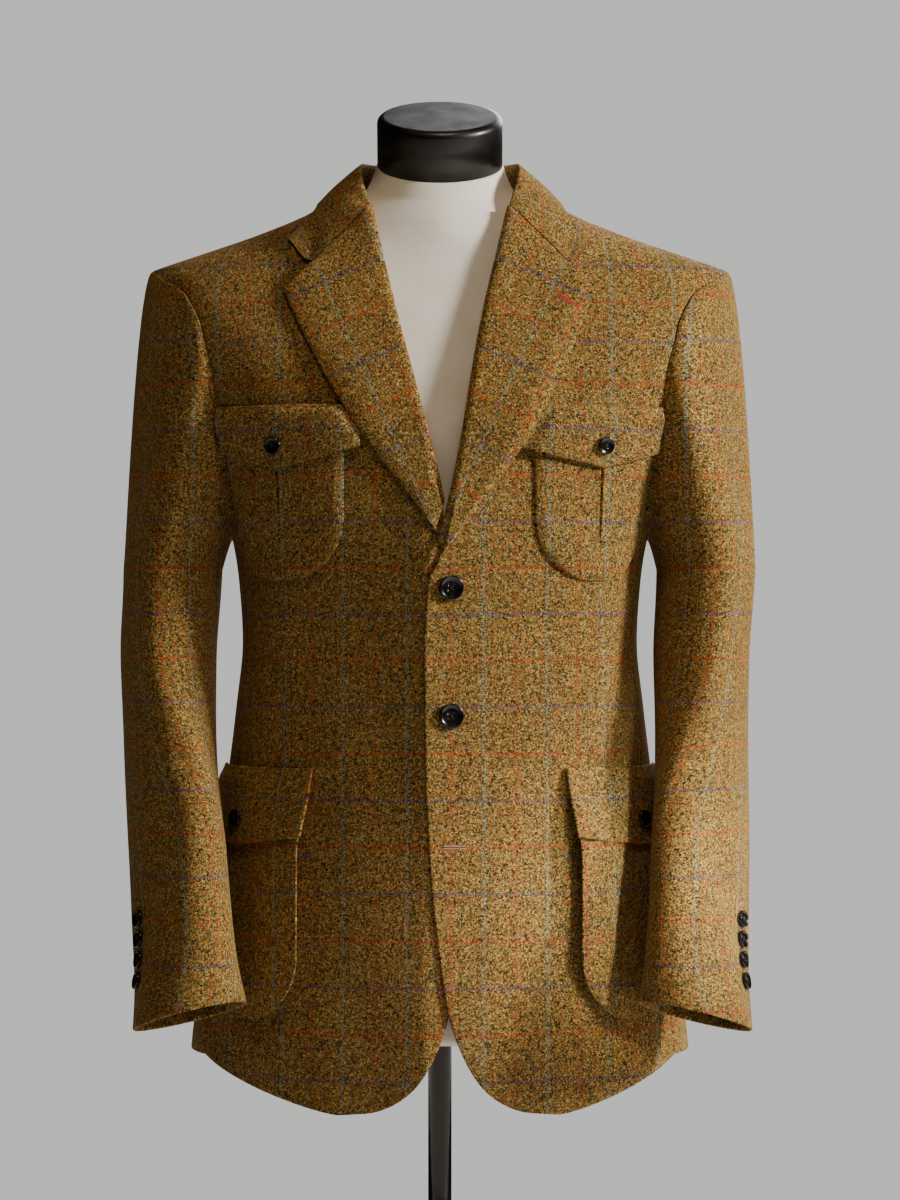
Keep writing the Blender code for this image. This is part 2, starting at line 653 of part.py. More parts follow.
def build_sleeve(side, name, under, ways):
    """Top or under half of a sleeve, or a stretch of it."""
    hind = sleeve_seam(HIND_SEAM, ways)[:, None]
    fore = sleeve_seam(FORE_SEAM, ways)[:, None]
    upper = ARM_FOOT * (1.0 - (FRONT_ROWS[FRONT_ROWS >= SIDE_ROW] - SIDE_ROW) / (1.0 - SIDE_ROW))
    space = 0.0042
    if under:
        beneath = ARM_FOOT + (360.0 - 2.0 * ARM_FOOT) * SIDE_STEPS
        behind = 360.0 - upper[1:]
        places = np.concatenate([beneath, behind[behind < HIND_SEAM[0] + 1.0]])
        first = fore
        last = hind
    else:
        before = -upper[upper < 361.0 - HIND_SEAM[0]]
        places = np.concatenate([before, upper[:-1][::-1]])
        first = hind - 2.0 * math.pi
        last = fore
    steps = (places - places[0]) / (places[-1] - places[0])
    around = (first + space) + (last - first - 2.0 * space) * steps[None, :]
    way = np.repeat(ways[:, None], around.shape[1], axis=1)
    h = 1e-3
    for row, sign in ((0, 1.0), (-1, -1.0)):
        if ways[row] == HEAD_WAY:
            pace = sleeve_point(around[row], way[row] + h) - sleeve_point(around[row], way[row] - h)
            way[row] += sign * 0.6 * SEAM * 2.0 * h / np.linalg.norm(pace, axis=-1)
    outer = sleeve_point(around, way)
    back_way = np.where(way > 1.999, way - h, way)
    side_step = sleeve_point(around + h, way) - sleeve_point(around - h, way)
    down_step = sleeve_point(around, back_way + h) - sleeve_point(around, back_way)
    normal = unit(np.cross(down_step, side_step))
    level = np.minimum(outer[..., 2], SLEEVE[0][0])
    mid_x = from_table(SLEEVE_COLUMNS, SLEEVE, "x", level)
    mid_y = from_table(SLEEVE_COLUMNS, SLEEVE, "y", level)
    axis = np.stack([mid_x, mid_y, outer[..., 2]], axis=-1)
    facing = np.sum(normal[4:] * (axis[4:] - outer[4:]))
    inward = normal if facing > 0.0 else -normal
    outer = sway(side, outer)
    inward[..., 0] *= side
    return wall(name, outer, inward, WALL, TWEED)


LAPEL_ROWS = np.array([0.0, 0.08, 0.18, 0.29, 0.40, 0.52, 0.64, 0.76, 0.88, 1.0])
LAPEL_ACROSS_COLUMNS = ("back", "height")
LAPEL_ACROSS = (
    (0.0032, -0.0010),
    (0.0004, 0.0014),
    (0.0014, 0.0046),
    (0.0056, 0.0064),
)
LAPEL_STEPS = np.array([0.26, 0.48, 0.70, 0.87, 1.0])
LAPEL_RIGHT_START = 0.11


def build_lapel(side, name):
    """Lapel: curls out of the roll line and lies back over the front."""
    start = 0.0 if side > 0 else LAPEL_RIGHT_START
    rows = start + (1.0 - start) * LAPEL_ROWS
    out_z = from_table(LAPEL_COLUMNS, LAPEL, "z", rows)
    out_x = from_table(LAPEL_COLUMNS, LAPEL, "x", rows)
    roll_z = ROLL_START + (ROLL_TOP - ROLL_START) * rows
    roll = roll_x(roll_z)
    if side < 0:
        roll_z = roll_z + 0.016 * (1.0 - LAPEL_ROWS) ** 3
        roll = roll_x(roll_z) + 0.004 * (1.0 - LAPEL_ROWS) ** 2
    full = np.hypot(out_x - roll, out_z - roll_z)
    dir_x = (out_x - roll) / full
    dir_z = (out_z - roll_z) / full
    tame = ease((rows - start) / 0.25) * 0.75 + 0.25
    places = []
    for back, height in LAPEL_ACROSS:
        back = np.minimum(back, full * 0.5)
        places.append((roll + dir_x * back, roll_z + dir_z * back, height * tame))
    for step in LAPEL_STEPS:
        rise = LAPEL_HIGH + (LAPEL_LOW - LAPEL_HIGH) * ease(step)
        rise = LAPEL_LOW + (rise - LAPEL_LOW) * tame
        along = np.maximum(0.006, full * step) if step < 1.0 else full
        places.append((roll + dir_x * along, roll_z + dir_z * along, rise))
    x = np.stack([p[0] for p in places], axis=1)
    z = np.stack([p[1] for p in places], axis=1)
    height = np.stack([np.broadcast_to(p[2], rows.shape) for p in places], axis=1)
    x[-1] -= GORGE_UP[0] * SEAM * 0.7
    z[-1] -= GORGE_UP[1] * SEAM * 0.7
    turn = turn_at_x(x + side * closing_x(z), z)
    outer = front_point(side, turn, z, height)
    inside = front_point(side, turn, z, np.full(turn.shape, -0.004))
    inside[:, :2] = inside[:, 4:5] + (inside[:, :2] - inside[:, 4:5]) * 0.2
    return wall(name, outer, inward_of(outer, inside), THIN, TWEED)


GORGE_COLUMNS = ("back", "height")
GORGE = (
    (0.0032, -0.0010),
    (0.0018, 0.0001),
    (0.0008, 0.0009),
    (0.0004, 0.0016),
    (0.0007, 0.0034),
    (0.0022, 0.0052),
    (0.0062, 0.0064),
    (0.0340, 0.0060),
    (0.0690, 0.0044),
)
GORGE_UP = (0.696, 0.718)    # across the gorge seam, from the lapel to the collar
COLLAR_TIP = (0.124, 1.461)
COLLAR_END = 50.0
COLLAR_TURNS = np.array([
    50.0, 53.0, 58.0, 65.0, 74.0, 84.0, 96.0, 110.0, 126.0, 144.0, 162.0, 180.0,
])
COLLAR_ACROSS = np.array([0.0, 0.18, 0.33, 0.40, 0.45, 0.50, 0.56, 0.70, 0.85, 1.0])


def spline(points, at):
    """Even smooth curve through points, read at shares of its length."""
    points = np.asarray(points)
    chord = np.sqrt(np.linalg.norm(np.diff(points, axis=0), axis=1))
    knots = np.concatenate([[0.0], np.cumsum(chord)])
    fine = np.linspace(0.0, knots[-1], 160)
    tangent = np.gradient(points, knots, axis=0)
    i = np.clip(np.searchsorted(knots, fine) - 1, 0, len(knots) - 2)
    h = (knots[i + 1] - knots[i])[:, None]
    t = ((fine - knots[i]) / h[:, 0])[:, None]
    low = (1.0 + 2.0 * t) * (1.0 - t) ** 2 * points[i] + t * (1.0 - t) ** 2 * h * tangent[i]
    high = t * t * (3.0 - 2.0 * t) * points[i + 1] + t * t * (t - 1.0) * h * tangent[i + 1]
    line = low + high
    length = np.concatenate([[0.0], np.cumsum(np.linalg.norm(np.diff(line, axis=0), axis=1))])
    length /= length[-1]
    return np.stack([np.interp(at, length, line[:, k]) for k in range(3)], axis=-1)


def collar_half():
    """Outer points of the wearer's left half of the collar, from the gorge to the centre back."""
    rows = []
    for degrees in COLLAR_TURNS:
        turn = math.radians(degrees)
        neck_z = float(from_table(NECK_COLUMNS, NECK, "z", degrees))
        seat = body_point(np.array(turn), np.array(neck_z))
        radial = np.array([math.sin(turn), -math.cos(turn), 0.0])
        base = seat - radial * 0.0030 + np.array([0.0, 0.0, 0.0008])
        radius = float(from_table(COLLAR_COLUMNS, COLLAR, "fold_radius", degrees))
        fold_z = float(from_table(COLLAR_COLUMNS, COLLAR, "fold_z", degrees))
        fold = radial * radius + np.array([0.0, 0.0, fold_z])
        edge_turn = math.radians(float(from_table(COLLAR_COLUMNS, COLLAR, "edge_turn", degrees)))
        edge_z = float(from_table(COLLAR_COLUMNS, COLLAR, "edge_z", degrees))
        edge = body_point(np.array(edge_turn), np.array(edge_z))
        edge = edge + body_normal(np.array(edge_turn), np.array(edge_z)) * 0.0040
        middle = fold * 0.42 + edge * 0.58
        lift = body_normal(np.array(edge_turn), np.array(edge_z))
        middle = middle + lift * 0.0030
        inner_low = base * 0.55 + fold * 0.45 - radial * 0.0008
        rows.append((base, inner_low, fold, middle, edge))
    return rows


def collar_end():
    """End of the collar along the gorge seam and the notch, shaped like the top of the lapel."""
    run = np.array([LAPEL[-1][2] - roll_x(ROLL_TOP), LAPEL[-1][1] - ROLL_TOP])
    run = run / np.linalg.norm(run)
    back = column(GORGE_COLUMNS, GORGE, "back")
    height = column(GORGE_COLUMNS, GORGE, "height")
    space = np.where(back < 0.007, 0.0018, SEAM * 1.3)
    x = roll_x(ROLL_TOP) + run[0] * back + GORGE_UP[0] * space
    z = ROLL_TOP + run[1] * back + GORGE_UP[1] * space
    x = np.append(x, COLLAR_TIP[0])
    z = np.append(z, COLLAR_TIP[1])
    height = np.append(height, 0.0040)
    return front_point(1.0, turn_at_x(x, z), z, height)


def build_collar(name):
    """Collar: a stand round the neck that folds over into the fall."""
    half = []
    end = collar_end()
    for degrees, points in zip(COLLAR_TURNS, collar_half()):
        row = spline(points, COLLAR_ACROSS)
        share = float(ease((68.0 - degrees) / (68.0 - COLLAR_END)))
        half.append(row * (1.0 - share) + end * share)
    half = np.stack(half)
    mirrored = half[:-1].copy()
    mirrored[..., 0] *= -1.0
    outer = np.concatenate([half, mirrored[::-1]], axis=0)
    core = outer[:, 2:8].mean(axis=1, keepdims=True) - np.array([0.0, 0.0, 0.012])
    return wall(name, outer, inward_of(outer, np.broadcast_to(core, outer.shape)), THIN, TWEED)


def rounded_half(z, bottom, half, radius):
    """Half width of a patch with a rounded foot."""
    below = np.clip((bottom + radius - z) / radius, 0.0, 1.0)
    return half - radius * (1.0 - np.sqrt(1.0 - below * below))


def on_front(side, x_centre, z_centre, across, z, height):
    """Points over a front, placed by length round the body from a centre."""
    centre = arc_at_turn(float(turn_at_x(x_centre, z_centre)), z_centre)
    turn = turn_at_arc(centre + across, z)
    return front_point(side, turn, z, height)


def between(side, x_centre, z_centre, across, z):
    """Places kept between the lapel edge and the armhole."""
    centre = arc_at_turn(float(turn_at_x(x_centre, z_centre)), z_centre)
    kept = np.array(across, dtype=float)
    for index in np.ndindex(kept.shape):
        level = float(z[index])
        edge = float(from_table(LAPEL_COLUMNS, LAPEL, "x", level, "z")) + side * float(closing_x(level))
        low = arc_at_turn(float(turn_at_x(edge + 0.0012, level)), level) - centre
        foot = math.acos(np.clip((level - ARM_MIDDLE) / ARM_HALF, -1.0, 1.0))
        if level > ARM_MIDDLE - 0.095:
            high = arc_at_turn(float(armhole(np.array(foot))[0]), level) - centre - 0.0035
            kept[index] = min(kept[index], high)
        if level > LAPEL[1][1]:
            kept[index] = max(kept[index], low)
    return kept


def panel_over(side, name, x_centre, z_centre, across, z, height, colour):
    """Cloth wall over a front from its face heights."""
    outer = on_front(side, x_centre, z_centre, across, z, height)
    inner = on_front(side, x_centre, z_centre, across, z, height - THIN)
    return wall(name, outer, unit(inner - outer), THIN, colour)


def build_breast_pocket(side, name):
    """Breast patch pocket with a rounded foot and a pleat down its middle."""
    levels = np.array([1.306, 1.286, 1.264, 1.240, 1.222, 1.208, 1.196, 1.188, 1.183, BREAST_BOTTOM])
    steps = np.array([-1.0, -0.75, -0.5, -0.25, -0.09, -0.035, 0.0, 0.035, 0.09, 0.25, 0.5, 0.75, 1.0])
    half = rounded_half(levels, BREAST_BOTTOM, BREAST_HALF, BREAST_ROUND)
    half = np.maximum(half, 0.010)
    across = half[:, None] * steps[None, :]
    z = np.broadcast_to(levels[:, None], across.shape)
    fade = ease((levels - PLEAT_BOTTOM) / 0.030)[:, None]
    near = np.abs(steps)[None, :] < 0.02
    beside = np.abs(np.abs(steps) - 0.035)[None, :] < 0.03
    height = THIN + REST + 0.0004 + fade * PLEAT_DEPTH * (beside * 1.0 - near * 0.2)
    across = between(side, BREAST_X, 1.29, across, z)
    return panel_over(side, name, BREAST_X, 1.29, across, z, height, TWEED)


def flap_rows(top, side_drop, point_drop, half, steps, share):
    """Places on a pointed flap at shares of its drop."""
    across = half * steps
    drop = side_drop + (point_drop - side_drop) * (1.0 - np.abs(steps)) ** 0.9
    z = top - share[:, None] * drop[None, :]
    return np.broadcast_to(across[None, :], z.shape), z


def build_breast_flap(side, name):
    """Pointed flap over the breast pocket."""
    steps = np.array([-1.0, -0.7, -0.35, 0.0, 0.35, 0.7, 1.0])
    share = np.array([0.0, 0.22, 0.42, 0.7, 1.0])
    across, z = flap_rows(
        BREAST_TOP, BREAST_FLAP_SIDE, BREAST_FLAP_POINT, BREAST_FLAP_HALF, steps, share)
    step = THIN + PLEAT_DEPTH + REST + 0.0004
    height = THIN + REST + step * ease((BREAST_TOP - z) / 0.009)
    across = between(side, BREAST_X, 1.29, across, z)
    return panel_over(side, name, BREAST_X, 1.29, across, z, height, TWEED)


def bellows(z, across):
    """Height of the lower pocket's inner face above the front, pressed flat under the sleeve."""
    full = 1.0 - 0.88 * ease((across + 0.036) / 0.070)
    rise = 0.0012 * ease((1.012 - z) / 0.030) + BELLOWS * full * ease((0.985 - z) / 0.085)
    return REST + 0.0004 + rise


def build_lower_pocket(side, name):
    """Face of the bellows pocket, standing off the front."""
    levels = np.array([1.010, 0.985, 0.962, 0.940, 0.915, 0.888, 0.868, 0.850, 0.837, 0.829, LOWER_BOTTOM])
    steps = np.array([-1.0, -0.8, -0.6, -0.4, -0.2, 0.0, 0.2, 0.4, 0.6, 0.8, 1.0])
    half = np.maximum(rounded_half(levels, LOWER_BOTTOM, LOWER_HALF, LOWER_ROUND), 0.024)
    across = half[:, None] * steps[None, :]
    z = np.broadcast_to(levels[:, None], across.shape)
    height = THIN + bellows(z, across)
    return panel_over(side, name, LOWER_X, 0.95, across, z, height, TWEED)


def build_lower_gusset(side, name):
    """Gusset of the bellows pocket: a strip that stands between the front and the face."""
    drop = np.linspace(0.0, 1.0, 9)
    centre_z = LOWER_BOTTOM + LOWER_ROUND
    half = LOWER_HALF - GUSSET_INSET
    radius = LOWER_ROUND - GUSSET_INSET
    angle = np.radians(90.0 * drop)
    bend = np.stack([half - radius + radius * np.cos(angle), centre_z - radius * np.sin(angle)], axis=1)
    straight = np.stack([np.full(4, half), np.linspace(GUSSET_TOP, centre_z + 0.012, 4)], axis=1)
    right = np.concatenate([straight, bend])
    left = right[::-1].copy()
    left[:, 0] *= -1.0
    line = np.concatenate([right, left])
    tangent = unit(np.gradient(line, axis=0))
    aside = np.stack([tangent[:, 1], -tangent[:, 0]], axis=1)
    aside *= np.sign(np.sum(aside * (np.array([0.0, centre_z]) - line), axis=1))[:, None]
    inset = line + aside * 0.0016
    share = np.array([0.0, 0.5, 1.0])
    grids = []
    for path in (line, inset):
        across = np.broadcast_to(path[:, :1], (len(path), 3))
        z = np.broadcast_to(path[:, 1:], (len(path), 3))
        top = bellows(z, across) - GUSSET_SPACE[1]
        height = GUSSET_SPACE[0] + (top - GUSSET_SPACE[0]) * share[None, :]
        grids.append(on_front(side, LOWER_X, 0.95, across, z, height))
    inward = grids[1] - grids[0]
    return wall(name, grids[0], inward, 1.0, TWEED)


def build_lower_flap(side, name):
    """Flap over the lower pocket."""
    steps = np.array([-1.0, -0.75, -0.5, -0.25, 0.0, 0.25, 0.5, 0.75, 1.0])
    share = np.array([0.0, 0.16, 0.34, 0.55, 0.78, 1.0])
    across, z = flap_rows(
        LOWER_TOP, LOWER_FLAP_SIDE, LOWER_FLAP_POINT, LOWER_FLAP_HALF, steps, share)
    over = bellows(z, across) + THIN + REST + 0.0006
    seam = ease((LOWER_TOP - z) / 0.014)
    height = THIN + REST + (over - REST) * seam
    return panel_over(side, name, LOWER_X, 0.95, across, z, height, TWEED)


def button_profile(radius, height):
    """Flat button with a raised, rounded rim."""
    return (
        (radius * 0.80, 0.0),
        (radius * 0.97, height * 0.30),
        (radius, height * 0.62),
        (radius * 0.90, height),
        (radius * 0.66, height * 0.72),
    )


def place_button(name, seat, axis, size, segments, colour):
    """Button resting just above its seat."""
    seat = np.asarray(seat) + unit(np.asarray(axis)) * 0.0006
    return turned(name, seat, axis, button_profile(*size), segments, colour)


def build_front_buttons():
    """Two fastened buttons on the upper front, square to its slope."""
    flat = np.array(0.0)
    h = 1e-3
    for label, z in zip(("upper", "lower"), FRONT_BUTTON_Z):
        z = np.array(z)
        turn = turn_at_x(np.array(FRONT_BUTTON_X), z)
        seat = front_point(1.0, turn, z, flat)
        around = front_point(1.0, turn + h, z, flat) - front_point(1.0, turn - h, z, flat)
        up = front_point(1.0, turn, z + h, flat) - front_point(1.0, turn, z - h, flat)
        place_button("front_button_" + label, seat, np.cross(around, up), FRONT_BUTTON, 20, HORN)


def build_flap_button(side, name, x_centre, z_centre, z, height):
    """Button on the point of a pocket flap."""
    centre = arc_at_turn(float(turn_at_x(x_centre, z_centre)), z_centre)
    turn = turn_at_arc(np.array(centre), np.array(z))
    seat = front_point(side, turn, np.array(z), np.array(height))
    above = front_point(side, turn, np.array(z), np.array(height + 0.01))
    place_button(name, seat, above - seat, SMALL_BUTTON, 14, HORN)


def build_cuff_buttons(side, word):
    """Four buttons up the back seam of a sleeve."""
    top = SLEEVE[0][0]
    bottom = SLEEVE[-1][0]
    around = np.array(math.radians(CUFF_BUTTON_AROUND))
    for number, z in enumerate(CUFF_BUTTON_Z, 1):
        way = np.array(1.0 + (z - top) / (bottom - top))
        seat = sleeve_point(around, way)
        h = 1e-3
        across = sleeve_point(around + h, way) - sleeve_point(around - h, way)
        along = sleeve_point(around, way + h) - sleeve_point(around, way - h)
        axis = unit(np.cross(across, along))
        axis = axis * np.sign(axis[0])
        seat = sway(side, seat + axis * CUFF_BUTTON_REST)
        axis = axis * np.array([side, 1.0, 1.0])
        place_button(f"cuff_button_{word}_{number}", seat, axis, SMALL_BUTTON, 14, HORN)


def build_form():
    """Limbless dress form: torso, neck cap, pole and base."""
    count = 32
    turns = 2.0 * math.pi * np.arange(count) / count
    levels = np.array([
        0.812, 0.86, 0.93, 1.00, 1.07, 1.13, 1.19, 1.25, 1.31, 1.36, 1.40, 1.42, 1.44, 1.456,
        1.471, 1.481,
    ])
    rings = []
    for z in levels:
        inset = float(from_table(FORM_INSET_COLUMNS, FORM_INSET, "inset", z))
        fold = np.abs(np.angle(np.exp(1j * turns)))
        level = np.full(turns.shape, z)
        behind = ease((fold - math.radians(95.0)) / math.radians(20.0)) * ease((level - 1.40) / 0.04)
        depth = (inset + FORM_BLADE_INSET * behind)[:, None]
        ring = body_point(fold, level) - body_normal(fold, level) * depth
        ring[:, 0] = np.minimum(ring[:, 0], FORM_ARM_CUT) * np.where(turns <= math.pi, 1.0, -1.0)
        rings.append(ring)
    foot = rings[0].copy()
    foot[:, :2] *= 0.95
    foot[:, 2] = FORM_BOTTOM
    rings.insert(0, foot)
    for z, y_mid, wide, front, back, power, tilt in NECK_RINGS:
        depth = np.where(np.cos(turns) >= 0.0, front, back)
        total = np.abs(np.cos(turns) / depth) ** power + np.abs(np.sin(turns) / wide) ** power
        r = total ** (-1.0 / power)
        y = -r * np.cos(turns)
        lean = math.radians(tilt)
        ring = [r * np.sin(turns), y_mid + y * math.cos(lean), z + y * math.sin(lean)]
        rings.append(np.stack(ring, axis=-1))
    loft("form_torso", rings, COVER)
    lean = math.radians(CAP_TILT)
    axis = np.array([0.0, -math.sin(lean), math.cos(lean)])
    neck = NECK_RINGS[-1]
    foot = np.array([0.0, neck[1], neck[0]]) + axis * SEAM
    soft = CAP_ROUND
    profile = (
        (CAP_RADIUS, 0.0),
        (CAP_RADIUS, CAP_HEIGHT - soft),
        (CAP_RADIUS - soft * 0.3, CAP_HEIGHT - soft * 0.3),
        (CAP_RADIUS - soft, CAP_HEIGHT),
    )
    turned("form_neck_cap", foot, axis, profile, 32, BLACK)
    up = (0.0, 0.0, 1.0)
    profile = ((POLE_RADIUS, 0.0), (POLE_RADIUS, FORM_BOTTOM - BASE_HEIGHT - 2.0 * SEAM))
    turned("form_pole", (0.0, 0.0, BASE_HEIGHT + SEAM), up, profile, 20, BLACK)
    edge = 0.003
    profile = (
        (BASE_RADIUS, 0.0),
        (BASE_RADIUS, BASE_HEIGHT - edge),
        (BASE_RADIUS - edge, BASE_HEIGHT),
    )
    turned("form_base", (0.0, 0.0, 0.0), up, profile, 48, BLACK)


TWEED = (0.22, 0.14, 0.05)
HORN = (0.02, 0.02, 0.02)
COVER = (0.72, 0.68, 0.60)
BLACK = (0.01, 0.01, 0.01)

for old in list(bpy.data.objects):
    bpy.data.objects.remove(old, do_unlink=True)

build_form()
for side, word in ((1.0, "left"), (-1.0, "right")):
    build_front(side, "front_" + word)
    build_side(side, "side_" + word)
    build_back(side, "back_" + word)
    build_sleeve(side, "sleeve_head_" + word, False, SLEEVE_WAYS[SLEEVE_WAYS <= HEAD_WAY])
    build_sleeve(side, "sleeve_top_" + word, False, SLEEVE_WAYS[SLEEVE_WAYS >= HEAD_WAY])
    build_sleeve(side, "sleeve_under_" + word, True, SLEEVE_WAYS)
    build_lapel(side, "lapel_" + word)
    build_breast_pocket(side, "breast_pocket_" + word)
    build_breast_flap(side, "breast_flap_" + word)
    build_lower_pocket(side, "lower_pocket_" + word)
    build_lower_gusset(side, "lower_gusset_" + word)
    build_lower_flap(side, "lower_flap_" + word)
    flap_face = 2.0 * THIN + PLEAT_DEPTH + 2.0 * REST + 0.0004
    build_flap_button(side, "breast_button_" + word, BREAST_X, 1.29, BREAST_BUTTON_Z, flap_face)
    lower_face = 2.0 * THIN + REST + 0.0006 + float(bellows(np.array(LOWER_BUTTON_Z), 0.0))
    build_flap_button(side, "lower_button_" + word, LOWER_X, 0.95, LOWER_BUTTON_Z, lower_face)
    build_cuff_buttons(side, word)
build_collar("collar")
build_front_buttons()
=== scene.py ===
"""Looks of a tweed jacket on a dress form.

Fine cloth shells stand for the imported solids, with their sewing, buttons and finishes. The floor, the
light and the camera are set up at the end. Metres, Z up, the front of the jacket faces -Y and the
wearer's left is +X.
"""

import logging
from dataclasses import dataclass, field
from enum import Enum
from functools import cached_property, partial
from math import cos, pi, radians, sin, tau

import bmesh
import bpy
import numpy as np
from bpy.types import Material, Mesh, Node, NodeSocket, NodeTree, Object, bpy_prop_collection
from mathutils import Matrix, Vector

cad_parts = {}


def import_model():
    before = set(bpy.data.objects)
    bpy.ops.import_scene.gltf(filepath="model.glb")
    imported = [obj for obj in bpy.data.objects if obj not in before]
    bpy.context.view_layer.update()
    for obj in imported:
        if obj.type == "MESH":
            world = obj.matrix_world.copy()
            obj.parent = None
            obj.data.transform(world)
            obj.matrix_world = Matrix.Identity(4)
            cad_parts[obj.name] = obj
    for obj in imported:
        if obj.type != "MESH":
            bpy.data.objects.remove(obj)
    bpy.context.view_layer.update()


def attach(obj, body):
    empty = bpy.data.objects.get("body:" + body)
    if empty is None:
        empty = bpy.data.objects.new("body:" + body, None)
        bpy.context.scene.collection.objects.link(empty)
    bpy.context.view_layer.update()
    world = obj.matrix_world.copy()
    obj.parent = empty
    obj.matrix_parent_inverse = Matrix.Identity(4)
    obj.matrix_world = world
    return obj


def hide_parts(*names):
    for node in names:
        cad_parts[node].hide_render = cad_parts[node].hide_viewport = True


Array = np.ndarray
LOG = logging.getLogger("tweed_jacket")
BODY_NAME = "root"
CLOTH_MAP = "cloth"
THREAD_SIDES = 8
FRONTS = ("front_cloth_left", "front_cloth_right")
SIDES = ((1.0, "left"), (-1.0, "right"))


def to_linear(colour: str) -> tuple[float, float, float, float]:
    """Linear colour of an sRGB hex value.

    Args:
        colour: six hex digits.

    Returns:
        Red, green, blue and alpha for a shader socket.
    """
    parts = [int(colour[k:k + 2], 16) / 255.0 for k in (0, 2, 4)]
    red, green, blue = (c / 12.92 if c <= 0.04045 else ((c + 0.055) / 1.055) ** 2.4 for c in parts)
    return red, green, blue, 1.0


def add_node(tree: NodeTree, kind: str, settings: dict | None = None,
             inputs: dict | None = None) -> bpy_prop_collection:
    """Add a shader node with its settings and links.

    Args:
        tree: node tree of a material or of the world.
        kind: Blender's name for the node, without ShaderNode.
        settings: node properties by name.
        inputs: by the name or number of an input, an output socket to link or a plain value.

    Returns:
        The output sockets of the new node.
    """
    node = tree.nodes.new("ShaderNode" + kind)
    for name, value in (settings or {}).items():
        setattr(node, name, value)
    for key, value in (inputs or {}).items():
        if isinstance(value, NodeSocket):
            tree.links.new(value, node.inputs[key])
        else:
            node.inputs[key].default_value = value
    return node.outputs


def start_material(name: str, shader_values: dict) -> tuple[Material, Node]:
    """Make a material with a Principled shader.

    Args:
        name: name of the material.
        shader_values: constant values by socket name.

    Returns:
        The material and its shader node.
    """
    material = bpy.data.materials.new(name)
    material.use_nodes = True
    shader = material.node_tree.nodes["Principled BSDF"]
    for key, value in shader_values.items():
        shader.inputs[key].default_value = value
    return material, shader


def add_object(name: str, data: bpy.types.ID) -> Object:
    """Put a mesh, a light or a camera in the scene.

    Args:
        name: name of the object.
        data: what it shows.

    Returns:
        The new object.
    """
    thing = bpy.data.objects.new(name, data)
    bpy.context.scene.collection.objects.link(thing)
    return thing


def fill_ramp(ramp: Node, stops: tuple[tuple[float, str], ...], steps: bool) -> None:
    """Set the stops of a colour ramp.

    Args:
        ramp: colour ramp node.
        stops: place and sRGB hex colour of each stop, in order.
        steps: True for plain steps in place of a blend.
    """
    ramp.color_ramp.interpolation = "CONSTANT" if steps else "LINEAR"
    elements = ramp.color_ramp.elements
    while len(elements) < len(stops):
        elements.new(1.0)
    for element, (place, colour) in zip(elements, stops):
        element.position = place
        element.color = to_linear(colour)


